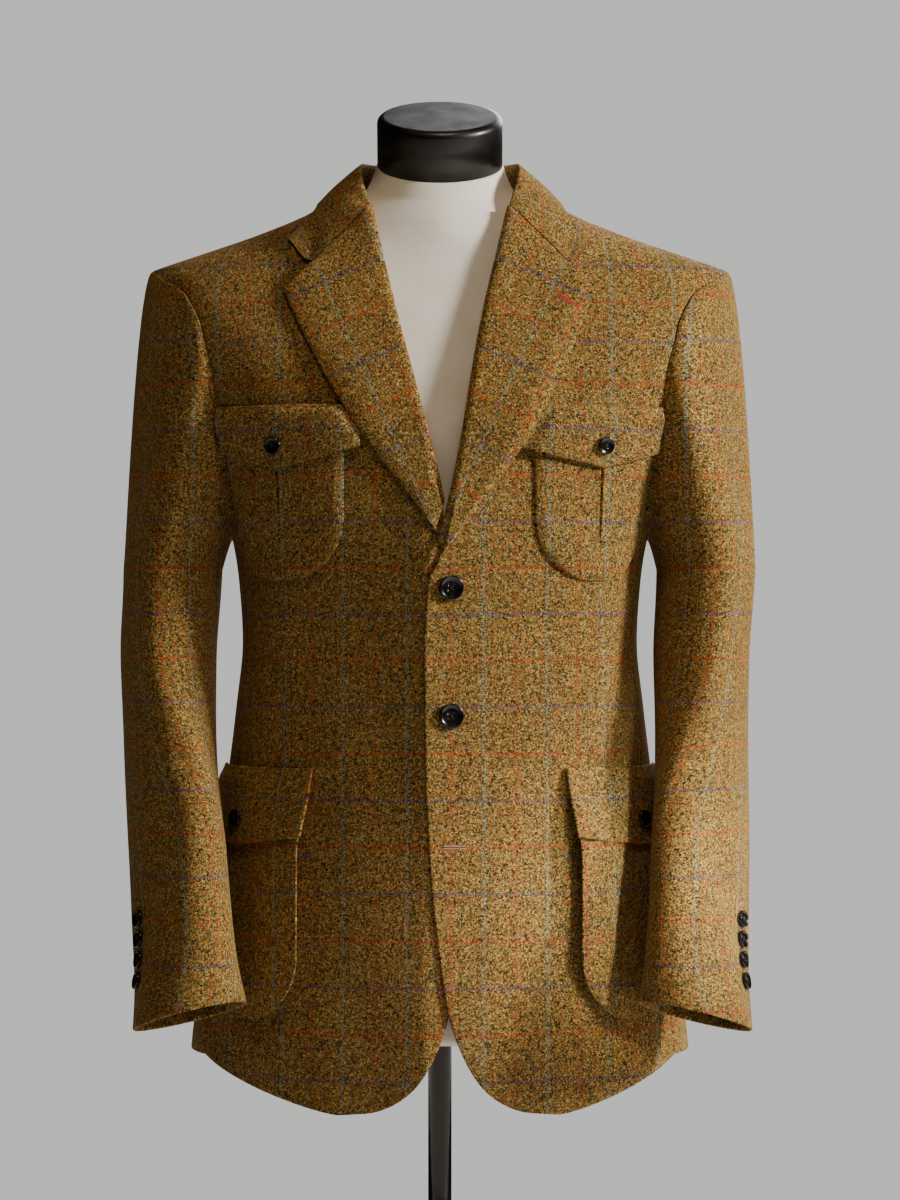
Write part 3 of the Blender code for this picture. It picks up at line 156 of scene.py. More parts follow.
@dataclass(frozen=True)
class Tweed:
    """Woollen 2/2 twill tweed, woven from heathered yarn and lightly napped.

    Each float of yarn takes its own colour, so the cloth looks speckled from near and mustard brown from
    afar. Rust and teal ends and violet and rust picks draw a windowpane. The nap scatters light at grazing
    angles, so the sheen is strong and the gloss is weak.
    """

    name: str = "heather_tweed_twill"
    thread: float = 0.00075       # yarn spacing of a medium tweed
    ends_in_check: int = 70       # warp yarns in one repeat of the check
    picks_in_check: int = 100     # weft yarns in one repeat
    line_threads: float = 4.0     # yarns in one line of the check
    line_share: float = 0.95      # how far a line covers the heather, at most
    twill: float = 4.0            # yarns in one repeat of a 2/2 twill
    rib_height: float = 0.00030   # relief of the twill
    rib_step: float = 0.6         # how unevenly the floats of yarn stand
    bend_threads: float = 20.0    # yarns waver over this many yarns
    bend_width: float = 1.6       # by this many
    cloud_threads: float = 9.0    # the heather gathers in clouds of this many yarns
    cloud_share: float = 0.36
    shade_threads: float = 70.0   # and the cloth is lighter and darker over wider stretches
    shade_share: float = 0.30
    heather: tuple[tuple[float, str], ...] = (
        (0.00, "2b2111"), (0.09, "46371b"), (0.22, "655027"), (0.37, "826630"), (0.52, "9a7a38"),
        (0.63, "6c6a3c"), (0.72, "b28f46"), (0.81, "965828"), (0.88, "c8ab68"), (0.93, "6e8272"),
        (0.97, "a94824"),
    )
    warp_lines: tuple[str, str] = ("ad4c24", "7e968a")
    weft_lines: tuple[str, str] = ("474878", "c23a14")

    def make(self) -> Material:
        """Build the material from the flat cloth places in the cloth map.

        Returns:
            The material.
        """
        material, shader = start_material(self.name, {
            "Roughness": 0.92, "IOR": 1.46, "Specular IOR Level": 0.22, "Sheen Weight": 0.30,
            "Sheen Roughness": 0.45, "Sheen Tint": to_linear("c9a368"),
        })
        tree = material.node_tree
        add = partial(add_node, tree)
        place = add("UVMap", {"uv_map": CLOTH_MAP})[0]
        scaled = add("VectorMath", {"operation": "SCALE"}, {0: place, "Scale": 1.0 / self.thread})[0]
        bend = add("TexNoise", inputs={"Vector": scaled, "Scale": 1.0 / self.bend_threads, "Detail": 1.0})[1]
        centred = add("VectorMath", {"operation": "SUBTRACT"}, {0: bend, 1: (0.5, 0.5, 0.5)})[0]
        waver = add("VectorMath", {"operation": "MULTIPLY_ADD"}, {
            0: centred, 1: (self.bend_width, self.bend_width, 0.0), 2: scaled,
        })[0]
        axes = add("SeparateXYZ", inputs={0: waver})
        end = add("Math", {"operation": "FLOOR"}, {0: axes[0]})[0]
        pick = add("Math", {"operation": "FLOOR"}, {0: axes[1]})[0]
        both = add("Math", {"operation": "ADD"}, {0: end, 1: pick})[0]
        along = add("Math", {"operation": "DIVIDE"}, {0: both, 1: self.twill})[0]
        number = add("Math", {"operation": "FLOOR"}, {0: along})[0]
        phase = add("Math", {"operation": "FRACT"}, {0: along})[0]
        warp_up = add("Math", {"operation": "LESS_THAN"}, {0: phase, 1: 0.5})[0]
        weft_up = add("Math", {"operation": "SUBTRACT"}, {0: 1.0, 1: warp_up})[0]
        yarn = add("Mix", {"data_type": "FLOAT"}, {0: warp_up, 2: pick, 3: end})[0]
        cell = add("CombineXYZ", inputs={0: yarn, 1: number, 2: warp_up})[0]
        chance = add("TexWhiteNoise", {"noise_dimensions": "3D"}, {"Vector": cell})[0]
        cloud = add("TexNoise", inputs={
            "Vector": waver, "Scale": 1.0 / self.cloud_threads, "Detail": 3.0, "Roughness": 0.6,
        })[0]
        drift = add("Math", {"operation": "MULTIPLY_ADD"}, {
            0: cloud, 1: self.cloud_share, 2: -self.cloud_share / 2.0,
        })[0]
        value = add("Math", {"operation": "ADD"}, {0: chance, 1: drift})[0]
        ramp = add("ValToRGB", inputs={0: value})
        fill_ramp(ramp[0].node, self.heather, True)
        colour = self._lines(tree, ramp[0], end, warp_up, chance, self.ends_in_check, self.warp_lines)
        colour = self._lines(tree, colour, pick, weft_up, chance, self.picks_in_check, self.weft_lines)
        shade = add("TexNoise", inputs={
            "Vector": scaled, "Scale": 1.0 / self.shade_threads, "Detail": 2.0,
        })[0]
        light = add("Math", {"operation": "MULTIPLY_ADD"}, {
            0: shade, 1: self.shade_share, 2: 1.0 - self.shade_share / 2.0,
        })[0]
        tinted = add("VectorMath", {"operation": "SCALE"}, {0: colour, "Scale": light})[0]
        tree.links.new(tinted, shader.inputs["Base Color"])
        across = add("Mix", {"data_type": "FLOAT"}, {0: warp_up, 2: axes[1], 3: axes[0]})[0]
        hump = add("Math", {"operation": "PINGPONG"}, {0: across, 1: 0.5})[0]
        height = add("Math", {"operation": "MULTIPLY_ADD"}, {0: chance, 1: self.rib_step, 2: hump})[0]
        relief = add("Bump", inputs={"Strength": 0.55, "Distance": self.rib_height, "Height": height})[0]
        tree.links.new(relief, shader.inputs["Normal"])
        return material

    def _lines(self, tree: NodeTree, colour: NodeSocket, index: NodeSocket,
               on_top: NodeSocket, chance: NodeSocket, repeat: int,
               shades: tuple[str, str]) -> NodeSocket:
        """Lay two coloured lines of the check over the heather.

        Args:
            tree: node tree of the cloth.
            colour: colour so far.
            index: number of the yarn.
            on_top: 1 where that yarn lies on the face.
            chance: random number of each float of yarn, so that the line looks broken.
            repeat: yarns in one repeat of the check.
            shades: colour of the first line and of the one half a repeat on.

        Returns:
            Colour with the lines.
        """
        add = partial(add_node, tree)
        for shift, shade in zip((0.0, repeat / 2.0), shades):
            moved = add("Math", {"operation": "ADD"}, {0: index, 1: shift})[0]
            turn = add("Math", {"operation": "FLOORED_MODULO"}, {0: moved, 1: float(repeat)})[0]
            inside = add("Math", {"operation": "LESS_THAN"}, {0: turn, 1: self.line_threads - 0.5})[0]
            shown = add("Math", {"operation": "MULTIPLY"}, {0: inside, 1: on_top})[0]
            broken = add("Math", {"operation": "MULTIPLY"}, {0: shown, 1: chance})[0]
            share = add("Math", {"operation": "MULTIPLY"}, {0: broken, 1: self.line_share})[0]
            colour = add("Mix", {"data_type": "RGBA"}, {0: share, 6: colour, 7: to_linear(shade)})[2]
        return colour


@dataclass(frozen=True)
class DarkHorn:
    """Polished dark horn, turned on a lathe: near black, with faint brown streaks and a crisp gloss."""

    name: str = "polished_dark_horn"
    dark: str = "0c0b0c"
    streak: str = "2a2420"
    streak_size: float = 0.004

    def make(self) -> Material:
        """Build the material.

        Returns:
            The material.
        """
        material, shader = start_material(self.name, {
            "Roughness": 0.20, "IOR": 1.55, "Coat Weight": 0.20, "Coat Roughness": 0.08,
        })
        tree = material.node_tree
        add = partial(add_node, tree)
        place = add("TexCoord")["Object"]
        stretch = add("Mapping", inputs={0: place, "Scale": (1.0, 1.0, 0.25)})[0]
        grain = add("TexNoise", inputs={
            "Vector": stretch, "Scale": 1.0 / self.streak_size, "Detail": 4.0, "Distortion": 0.8,
        })[0]
        ramp = add("ValToRGB", inputs={0: grain})
        fill_ramp(ramp[0].node, ((0.50, self.dark), (0.78, self.streak)), False)
        tree.links.new(ramp[0], shader.inputs["Base Color"])
        return material


@dataclass(frozen=True)
class FormCover:
    """Cotton jersey drawn over a padded torso: matt off-white with a fine even rib."""

    name: str = "cotton_jersey_cover"
    pale: str = "fbf8f2"
    shade: str = "f2ede2"
    rib: float = 0.0016           # rib spacing, twice the real one so that it shows

    def make(self) -> Material:
        """Build the material.

        Returns:
            The material.
        """
        material, shader = start_material(self.name, {
            "Roughness": 0.88, "IOR": 1.46, "Specular IOR Level": 0.25, "Sheen Weight": 0.12,
        })
        tree = material.node_tree
        add = partial(add_node, tree)
        place = add("TexCoord")["Object"]
        ribs = add("TexWave", inputs={"Vector": place, "Scale": 0.314 / self.rib, "Distortion": 0.4})[1]
        cloud = add("TexNoise", inputs={"Vector": place, "Scale": 40.0, "Detail": 4.0})[0]
        ramp = add("ValToRGB", inputs={0: cloud})
        fill_ramp(ramp[0].node, ((0.30, self.shade), (0.70, self.pale)), False)
        bump = add("Bump", inputs={"Strength": 0.18, "Distance": 0.0003, "Height": ribs})
        tree.links.new(ramp[0], shader.inputs["Base Color"])
        tree.links.new(bump[0], shader.inputs["Normal"])
        return material


@dataclass(frozen=True)
class BlackPaint:
    """Black paint: satin lacquer brushed on turned wood, or stoved enamel on steel."""

    name: str
    colour: str
    roughness: float
    coat: float
    mottle: float                 # size of the faint unevenness of the paint

    def make(self) -> Material:
        """Build the material.

        Returns:
            The material.
        """
        material, shader = start_material(self.name, {
            "Base Color": to_linear(self.colour), "IOR": 1.5, "Coat Weight": self.coat,
            "Coat Roughness": 0.15,
        })
        tree = material.node_tree
        add = partial(add_node, tree)
        place = add("TexCoord")["Object"]
        cloud = add("TexNoise", inputs={"Vector": place, "Scale": 1.0 / self.mottle, "Detail": 5.0})[0]
        gloss = add("MapRange", inputs={
            "Value": cloud, "From Min": 0.3, "From Max": 0.7, "To Min": self.roughness * 0.8,
            "To Max": self.roughness * 1.3,
        })[0]
        bump = add("Bump", inputs={"Strength": 0.05, "Distance": 0.0004, "Height": cloud})
        tree.links.new(gloss, shader.inputs["Roughness"])
        tree.links.new(bump[0], shader.inputs["Normal"])
        return material


class ThreadShade(Enum):
    """Sewing threads of the jacket, by the sRGB colour of each."""

    GROUND = "3c2b14"             # dark brown thread laid in the darts as the painted shadow line of their seams
    RED = "d83a06"                # silk twist of the lapel and cuff buttonholes
    ROSE_BROWN = "c69a82"         # twist of the lowest front buttonhole
    # BLACK also lies in the buttonhole slits as their painted shade
    BLACK = "14100e"              # holds the buttons


@dataclass(frozen=True)
class SewingThread:
    """Twisted silk or cotton sewing thread: soft gloss along fine plies."""

    shade: ThreadShade
    ply: float = 0.0004           # ply spacing

    def make(self) -> Material:
        """Build the material.

        Returns:
            The material.
        """
        material, shader = start_material("twisted_thread_" + self.shade.name.lower(), {
            "Roughness": 0.60, "IOR": 1.5, "Sheen Weight": 0.05,
        })
        tree = material.node_tree
        add = partial(add_node, tree)
        place = add("TexCoord")["Object"]
        plies = add("TexNoise", inputs={"Vector": place, "Scale": 1.0 / self.ply, "Detail": 2.0})[0]
        colour = to_linear(self.shade.value)
        dark = tuple(c * 0.6 for c in colour[:3]) + (1.0,)
        mixed = add("Mix", {"data_type": "RGBA"}, {0: plies, 6: dark, 7: colour})
        tree.links.new(mixed[2], shader.inputs["Base Color"])
        return material


def hermite(knots: Array, values: Array, tangent: Array, at: Array) -> Array:
    """Cubic curve through values with given slopes.

    Args:
        knots: rising places.
        values: values or points at the knots.
        tangent: slopes at the knots.
        at: places to read.

    Returns:
        Values of the curve.
    """
    i = np.clip(np.searchsorted(knots, at) - 1, 0, len(knots) - 2)
    h = knots[i + 1] - knots[i]
    t = (at - knots[i]) / h
    if values.ndim > 1:
        h = h[:, None]
        t = t[:, None]
    low = (1.0 + 2.0 * t) * (1.0 - t) ** 2 * values[i] + t * (1.0 - t) ** 2 * h * tangent[i]
    high = t * t * (3.0 - 2.0 * t) * values[i + 1] + t * t * (t - 1.0) * h * tangent[i + 1]
    return low + high


def through(knots: Array, values: Array, at: Array) -> Array:
    """Smooth curve through knots that never overshoots them.

    Args:
        knots: rising places.
        values: values at the knots.
        at: places to read.

    Returns:
        Values of the curve.
    """
    step = np.diff(knots)
    slope = np.diff(values) / step
    tangent = np.zeros(len(knots))
    tangent[0] = slope[0]
    tangent[-1] = slope[-1]
    same = slope[1:] * slope[:-1] > 0.0
    weight_a = 2.0 * step[1:] + step[:-1]
    weight_b = step[1:] + 2.0 * step[:-1]
    safe_a = np.where(same, slope[:-1], 1.0)
    safe_b = np.where(same, slope[1:], 1.0)
    mean = (weight_a + weight_b) / (weight_a / safe_a + weight_b / safe_b)
    tangent[1:-1] = np.where(same, mean, 0.0)
    at = np.clip(np.asarray(at, dtype=float), knots[0], knots[-1])
    return hermite(knots, values, tangent, at)


def ease(t: Array) -> Array:
    """Soft step from 0 to 1."""
    t = np.clip(t, 0.0, 1.0)
    return t * t * (3.0 - 2.0 * t)


def step_up(value: Array, step: tuple[float, float]) -> Array:
    """Soft step from 0 to 1, given by its start and its width."""
    return ease((value - step[0]) / step[1])


def unit(v: Array) -> Array:
    """Vectors brought to length one."""
    return v / np.maximum(np.linalg.norm(v, axis=-1, keepdims=True), 1e-12)


def oval(turn: Array, wide: Array, deep: Array, power: Array) -> Array:
    """Radius of a rounded oval.

    Args:
        turn: turns from its front.
        wide: half width.
        deep: half depth.
        power: 2 for an ellipse, more for a squarer oval.

    Returns:
        Radius at each turn.
    """
    total = np.abs(np.cos(turn) / deep) ** power + np.abs(np.sin(turn) / wide) ** power
    return total ** (-1.0 / power)


def run_length(points: Array, axis: int = 0) -> Array:
    """Length along lines of points.

    Args:
        points: points by row, or by row and column.
        axis: axis that the lines follow.

    Returns:
        Length up to each point, 0 at the first.
    """
    step = np.linalg.norm(np.diff(points, axis=axis), axis=-1)
    return np.concatenate([np.zeros_like(step).take([0], axis), np.cumsum(step, axis=axis)], axis=axis)


def refine(places: Array, times: int) -> Array:
    """Put more places between given ones.

    Args:
        places: given places.
        times: steps in each gap.

    Returns:
        All places.
    """
    places = np.asarray(places, dtype=float)
    index = np.arange(len(places))
    return np.interp(np.linspace(0.0, index[-1], index[-1] * times + 1), index, places)


def smooth_line(points: Array, at: Array) -> Array:
    """Even smooth curve through points, read at shares of its length.

    Args:
        points: points of the curve, of which repeated ones count once.
        at: shares of the length.

    Returns:
        Points of the curve at the shares.
    """
    points = np.asarray(points)
    apart = np.linalg.norm(np.diff(points, axis=0), axis=1) > 1e-6
    points = points[np.concatenate([[True], apart])]
    chord = np.sqrt(np.linalg.norm(np.diff(points, axis=0), axis=1))
    knots = np.concatenate([[0.0], np.cumsum(chord)])
    fine = np.linspace(0.0, knots[-1], 240)
    line = hermite(knots, points, np.gradient(points, knots, axis=0), fine)
    length = run_length(line)
    length /= length[-1]
    return np.stack([np.interp(at, length, line[:, k]) for k in range(3)], axis=-1)


def patch(bottom: Array, top: Array, first: Array, last: Array, u: Array,
          v: Array, power: float = 1.0) -> Array:
    """Blend of four border lines.

    Args:
        bottom: values along the lower border.
        top: values along the upper border.
        first: values up the first side.
        last: values up the last side.
        u: shares across.
        v: shares upward.
        power: above 1 it keeps the shape of the upper border near the top.

    Returns:
        Grid of values, a row for each v.
    """
    u = u[None, :]
    v = v[:, None] ** power
    along = (1.0 - v) * bottom[None, :] + v * top[None, :]
    across = (1.0 - u) * first[:, None] + u * last[:, None]
    corners = (1.0 - u) * (1.0 - v) * bottom[0] + u * (1.0 - v) * bottom[-1]
    corners = corners + (1.0 - u) * v * top[0] + u * v * top[-1]
    return along + across - corners


@dataclass(frozen=True)
class Table:
    """Sizes by section, with named columns."""

    columns: tuple[str, ...]
    rows: tuple[tuple[float, ...], ...]

    def column(self, name: str) -> Array:
        """One column as an array."""
        return np.array([row[self.columns.index(name)] for row in self.rows], dtype=float)

    def read(self, name: str, at: Array, key: str = "") -> Array:
        """Read a column smoothly.

        Args:
            name: column to read.
            at: places in the key column.
            key: key column, the first one if not given.

        Returns:
            Values at the places.
        """
        knots = self.column(key or self.columns[0])
        values = self.column(name)
        if knots[0] > knots[-1]:
            knots = knots[::-1]
            values = values[::-1]
        return through(knots, values, at)


def ridge(x: Array, z: Array, lean: float, width: float, length: float, height: float) -> Array:
    """Rise of one soft fold.

    Args:
        x: places across from its middle.
        z: places up from its middle.
        lean: direction of its crest in degrees.
        width: half width.
        length: half length.
        height: height of its crest, negative for a trough.

    Returns:
        Height at each place.
    """
    c = cos(radians(lean))
    s = sin(radians(lean))
    return height * np.exp(-(((x * c + z * s) / length) ** 2) - ((z * c - x * s) / width) ** 2)


@dataclass(frozen=True)
class Folds:
    """Soft ridges and troughs of hanging cloth, each placed one by one."""

    table: Table

    def height(self, x: Array, z: Array) -> Array:
        """Rise of the cloth.

        Args:
            x: places across.
            z: places upward.

        Returns:
            Height of the folds at each place.
        """
        rise = np.zeros(np.broadcast(x, z).shape)
        for at_x, at_z, *shape in self.table.rows:
            rise = rise + ridge(x - at_x, z - at_z, *shape)
        return rise


FOLD_COLUMNS = ("x", "z", "lean", "width", "length", "height")


@dataclass(frozen=True)
class JacketBody:
    """Outside of the jacket body: the surface that its panels are cut from."""

    closing_x: float = 0.0075
    closing_end: tuple[float, float] = (1.25, 0.17)
    lap_lift: float = 0.0018
    lap_reach: tuple[float, float] = (0.030, 0.060)
    lap_end: tuple[float, float] = (1.26, 0.14)
    ridge_x: float = -0.0110      # the closing edge stands out here, and both fronts slope away from it
    ridge_height: float = 0.0130
    ridge_reach: float = 0.1000
    ridge_end: tuple[float, float] = (1.20, 0.09)
    fold_start: tuple[float, float] = (0.012, 0.030)
    fold_end: tuple[float, float] = (1.40, 0.04)
    right_folds: float = 0.8      # the folds of the right front are flatter
    seam: float = 0.000186        # half the space of a seam
    front_seam: float = 74.0
    back_seam: float = 103.0
    hem_side: float = 0.792
    hem_back: float = 0.788
    arm_middle: float = 1.3275
    arm_half: float = 0.1125
    arm_foot: float = 140.0
    side_row: float = 0.66
    check_z: float = 1.1522       # level of a violet line of the check
    drop_turn: float = 38.0       # the drop of the cloth is measured here
    levels: Table = Table(("z", "half_width", "front", "back", "front_power", "back_power"), (
        (0.720, 0.2130, 0.1390, 0.1310, 2.15, 2.30),
        (0.800, 0.2070, 0.1345, 0.1300, 2.15, 2.30),
        (0.900, 0.1935, 0.1290, 0.1230, 2.15, 2.30),
        (1.000, 0.1795, 0.1225, 0.1080, 2.20, 2.30),
        (1.080, 0.1695, 0.1195, 0.0970, 2.40, 2.30),
        (1.130, 0.1645, 0.1200, 0.0940, 2.40, 2.30),
        (1.180, 0.1675, 0.1240, 0.0990, 2.40, 2.30),
        (1.240, 0.1790, 0.1295, 0.1100, 2.40, 2.30),
        (1.300, 0.2050, 0.1290, 0.1200, 2.40, 2.30),
        (1.350, 0.2450, 0.1160, 0.1215, 2.40, 2.30),
        (1.400, 0.2850, 0.0940, 0.1120, 2.20, 2.25),
        (1.430, 0.2640, 0.0800, 0.0990, 1.95, 2.10),
        (1.440, 0.2400, 0.0765, 0.0950, 1.85, 2.05),
        (1.455, 0.1960, 0.0730, 0.0885, 1.70, 1.95),
        (1.470, 0.1530, 0.0700, 0.0820, 1.55, 1.90),
        (1.488, 0.1100, 0.0640, 0.0740, 1.50, 1.85),
        (1.500, 0.0900, 0.0570, 0.0660, 1.50, 1.80),
        (1.512, 0.0760, 0.0500, 0.0590, 1.50, 1.80),
        (1.545, 0.0560, 0.0400, 0.0470, 1.50, 1.80),
    ))
    neck: Table = Table(("turn", "z"), (
        (54.0, 1.4880), (72.0, 1.5020), (90.0, 1.5120), (125.0, 1.5070), (180.0, 1.4980),
    ))
    armhole_turns: Table = Table(("around", "front_turn", "back_turn"), (
        (0.0, 90.0, 90.0), (20.0, 82.0, 100.0), (40.0, 73.5, 107.5), (60.0, 67.8, 112.0),
        (80.0, 65.2, 112.5), (100.0, 66.0, 110.0), (120.0, 69.0, 106.0), (140.0, 74.0, 103.0),
        (160.0, 81.5, 97.5), (180.0, 90.0, 90.0),
    ))
    front_folds: Folds = Folds(Table(FOLD_COLUMNS, (
        (0.060, 1.150, -12.0, 0.010, 0.060, -0.0010),
        (0.075, 1.112, 10.0, 0.012, 0.060, 0.0010),
        (0.105, 1.080, 55.0, 0.016, 0.080, 0.0012),
        (0.050, 0.930, 80.0, 0.022, 0.110, 0.0014),
        (0.100, 0.800, 84.0, 0.020, 0.060, 0.0016),
        (0.165, 1.350, 66.0, 0.012, 0.060, -0.0012),
    )))
    back_folds: Folds = Folds(Table(FOLD_COLUMNS, (
        (0.120, 1.330, 72.0, 0.016, 0.090, 0.0022),
        (0.085, 1.150, 8.0, 0.014, 0.080, 0.0016),
        (0.070, 1.110, -6.0, 0.012, 0.070, -0.0014),
        (0.110, 0.900, 82.0, 0.024, 0.120, 0.0020),
        (0.040, 0.860, 88.0, 0.020, 0.100, -0.0016),
    )))

    def radius(self, turn: Array, z: Array) -> Array:
        """Distance of the surface from the middle axis.

        Args:
            turn: turns from the centre front.
            z: levels.

        Returns:
            Distances.
        """
        ahead = np.cos(turn) >= 0.0
        depth = np.where(ahead, self.levels.read("front", z), self.levels.read("back", z))
        power = np.where(ahead, self.levels.read("front_power", z), self.levels.read("back_power", z))
        wide = self.levels.read("half_width", z)
        return oval(turn, wide, depth, power)

    def point(self, turn: Array, z: Array) -> Array:
        """Point of the surface on the wearer's left."""
        r = self.radius(turn, z)
        return np.stack([r * np.sin(turn), -r * np.cos(turn), np.broadcast_to(z, r.shape)], axis=-1)

    def normal(self, turn: Array, z: Array) -> Array:
        """Outward direction of the surface.

        Args:
            turn: turns from the centre front.
            z: levels.

        Returns:
            Unit directions on the wearer's left.
        """
        h = 1e-4
        around = self.point(turn + h, z) - self.point(turn - h, z)
        up = self.point(turn, z + h) - self.point(turn, z - h)
        return unit(np.cross(around, up))

    @cached_property
    def _arcs(self) -> tuple[Array, Array, Array]:
        """Lengths round the body from the middle of the front, worked out once.

        Returns:
            Levels, turns, and lengths by level and turn.
        """
        levels = np.linspace(0.72, 1.545, 331)
        turns = np.radians(np.linspace(-25.0, 180.0, 411))
        line = self.point(turns[None, :], levels[:, None])
        length = run_length(line, 1)
        return levels, turns, length - length[:, 50:51]

    def arc(self, turn: Array, z: Array) -> Array:
        """Length round the body from the middle of the front to a turn.

        Args:
            turn: turns from the centre front.
            z: levels.

        Returns:
            Lengths.
        """
        levels, turns, length = self._arcs
        turn, z = np.broadcast_arrays(turn, z)
        row = np.clip((z - levels[0]) / (levels[1] - levels[0]), 0.0, len(levels) - 1.001)
        col = np.clip((turn - turns[0]) / (turns[1] - turns[0]), 0.0, len(turns) - 1.001)
        i = row.astype(int)
        j = col.astype(int)
        a = row - i
        b = col - j
        low = length[i, j] * (1.0 - b) + length[i, j + 1] * b
        high = length[i + 1, j] * (1.0 - b) + length[i + 1, j + 1] * b
        return low * (1.0 - a) + high * a

    def turn_at(self, goal: Array, z: Array, by_arc: bool) -> Array:
        """Turn of a front point by its length round the body or by its sideways place.

        Args:
            goal: lengths or sideways places.
            z: levels.
            by_arc: True for lengths.

        Returns:
            Turns in radians.
        """
        goal, z = np.broadcast_arrays(goal, z)
        low = np.full(goal.shape, radians(-25.0))
        high = np.full(goal.shape, radians(179.0 if by_arc else 90.0))
        for _ in range(34):
            middle = (low + high) / 2.0
            found = self.arc(middle, z) if by_arc else self.radius(middle, z) * np.sin(middle)
            low = np.where(found < goal, middle, low)
            high = np.where(found < goal, high, middle)
        return (low + high) / 2.0

    def closing(self, z: Array) -> Array:
        """Sideways place of the closing line, which comes back to the middle at the neck."""
        return self.closing_x * (1.0 - step_up(np.asarray(z), self.closing_end))

    def lift(self, side: float, x: Array, z: Array) -> Array:
        """Height of a front over the surface.

        Args:
            side: 1 for the left, -1 for the right.
            x: places outward from the centre front.
            z: levels.

        Returns:
            Height of the ridge at the closing, of the left front on top and of the folds.
        """
        off = np.clip(np.abs(x - side * self.ridge_x) / self.ridge_reach, 0.0, 1.0)
        crest = self.ridge_height * (1.0 - off) ** 2 * (1.0 - step_up(z, self.ridge_end))
        step = side * self.lap_lift * (1.0 - step_up(x, self.lap_reach)) * (1.0 - step_up(z, self.lap_end))
        calm = step_up(x, self.fold_start) * (1.0 - step_up(z, self.fold_end))
        share = 1.0 if side > 0 else self.right_folds
        return crest + step + self.front_folds.height(x, z) * calm * share

    def over(self, side: float, turn: Array, z: Array, height: Array) -> Array:
        """Points over a front panel.

        Args:
            side: 1 for the left, -1 for the right.
            turn: turns from the centre front.
            z: levels.
            height: heights above the outer face of the front.

        Returns:
            Points.
        """
        p = self.point(turn, z)
        rise = np.asarray(height) + self.lift(side, p[..., 0], p[..., 2])
        p = p + self.normal(turn, z) * rise[..., None]
        p[..., 0] *= side
        return p

    def seam_step(self, turn: Array, z: Array, sign: float) -> Array:
        """Turn moved by half a seam space."""
        return turn + sign * self.seam / self.radius(turn, z)

    def armhole(self, around: Array) -> tuple[Array, Array]:
        """Line of the armhole.

        Args:
            around: angles from the shoulder point round by the front.

        Returns:
            Turns and levels.
        """
        around = np.mod(around, tau)
        half = np.degrees(np.minimum(around, tau - around))
        front = self.armhole_turns.read("front_turn", half)
        back = self.armhole_turns.read("back_turn", half)
        turn = np.radians(np.where(around <= pi, front, back))
        return turn, self.arm_middle + self.arm_half * np.cos(around)

    @property
    def foot_level(self) -> float:
        """Level where the armhole meets the side seams."""
        return self.arm_middle + self.arm_half * cos(radians(self.arm_foot))

    def side_line(self, rows: Array, back: bool) -> tuple[Array, Array]:
        """Side of a front or back panel: the seam from the hem, then the armhole.

        Args:
            rows: shares from the hem to the shoulder.
            back: True for a back panel.

        Returns:
            Turns and levels.
        """
        turn = np.radians(self.back_seam if back else self.front_seam)
        foot = radians(self.arm_foot)
        z_low = self.hem_side + (self.foot_level - self.hem_side) * np.clip(rows / self.side_row, 0.0, 1.0)
        around = foot * (1.0 - np.clip((rows - self.side_row) / (1.0 - self.side_row), 0.0, 1.0))
        arm_turn, arm_z = self.armhole(tau - around if back else around)
        below = rows <= self.side_row
        turns = np.where(below, turn, arm_turn)
        levels = np.where(below, z_low, arm_z)
        return self.seam_step(turns, levels, 1.0 if back else -1.0), levels

    @cached_property
    def _drop(self) -> tuple[Array, Array]:
        """Lengths of the cloth up the front from a line of the check.

        Returns:
            Levels, and the length up to each.
        """
        levels = np.linspace(0.72, 1.545, 500)
        line = self.point(radians(self.drop_turn), levels)
        length = run_length(line)
        return levels, length - np.interp(self.check_z, levels, length)

    def drop(self, z: Array) -> Array:
        """Length of the cloth up to a level, from a violet line of the check."""
        levels, length = self._drop
        return np.interp(z, levels, length)

    def cloth(self, turn: Array, z: Array, shift: float) -> Array:
        """Flat cloth places of points on a front.

        Args:
            turn: turns from the centre front.
            z: levels.
            shift: sideways place of a rust line of the check.

        Returns:
            Places across and up the flat cloth, in metres.
        """
        return np.stack(np.broadcast_arrays(self.arc(turn, z) - shift, self.drop(z)), axis=-1)


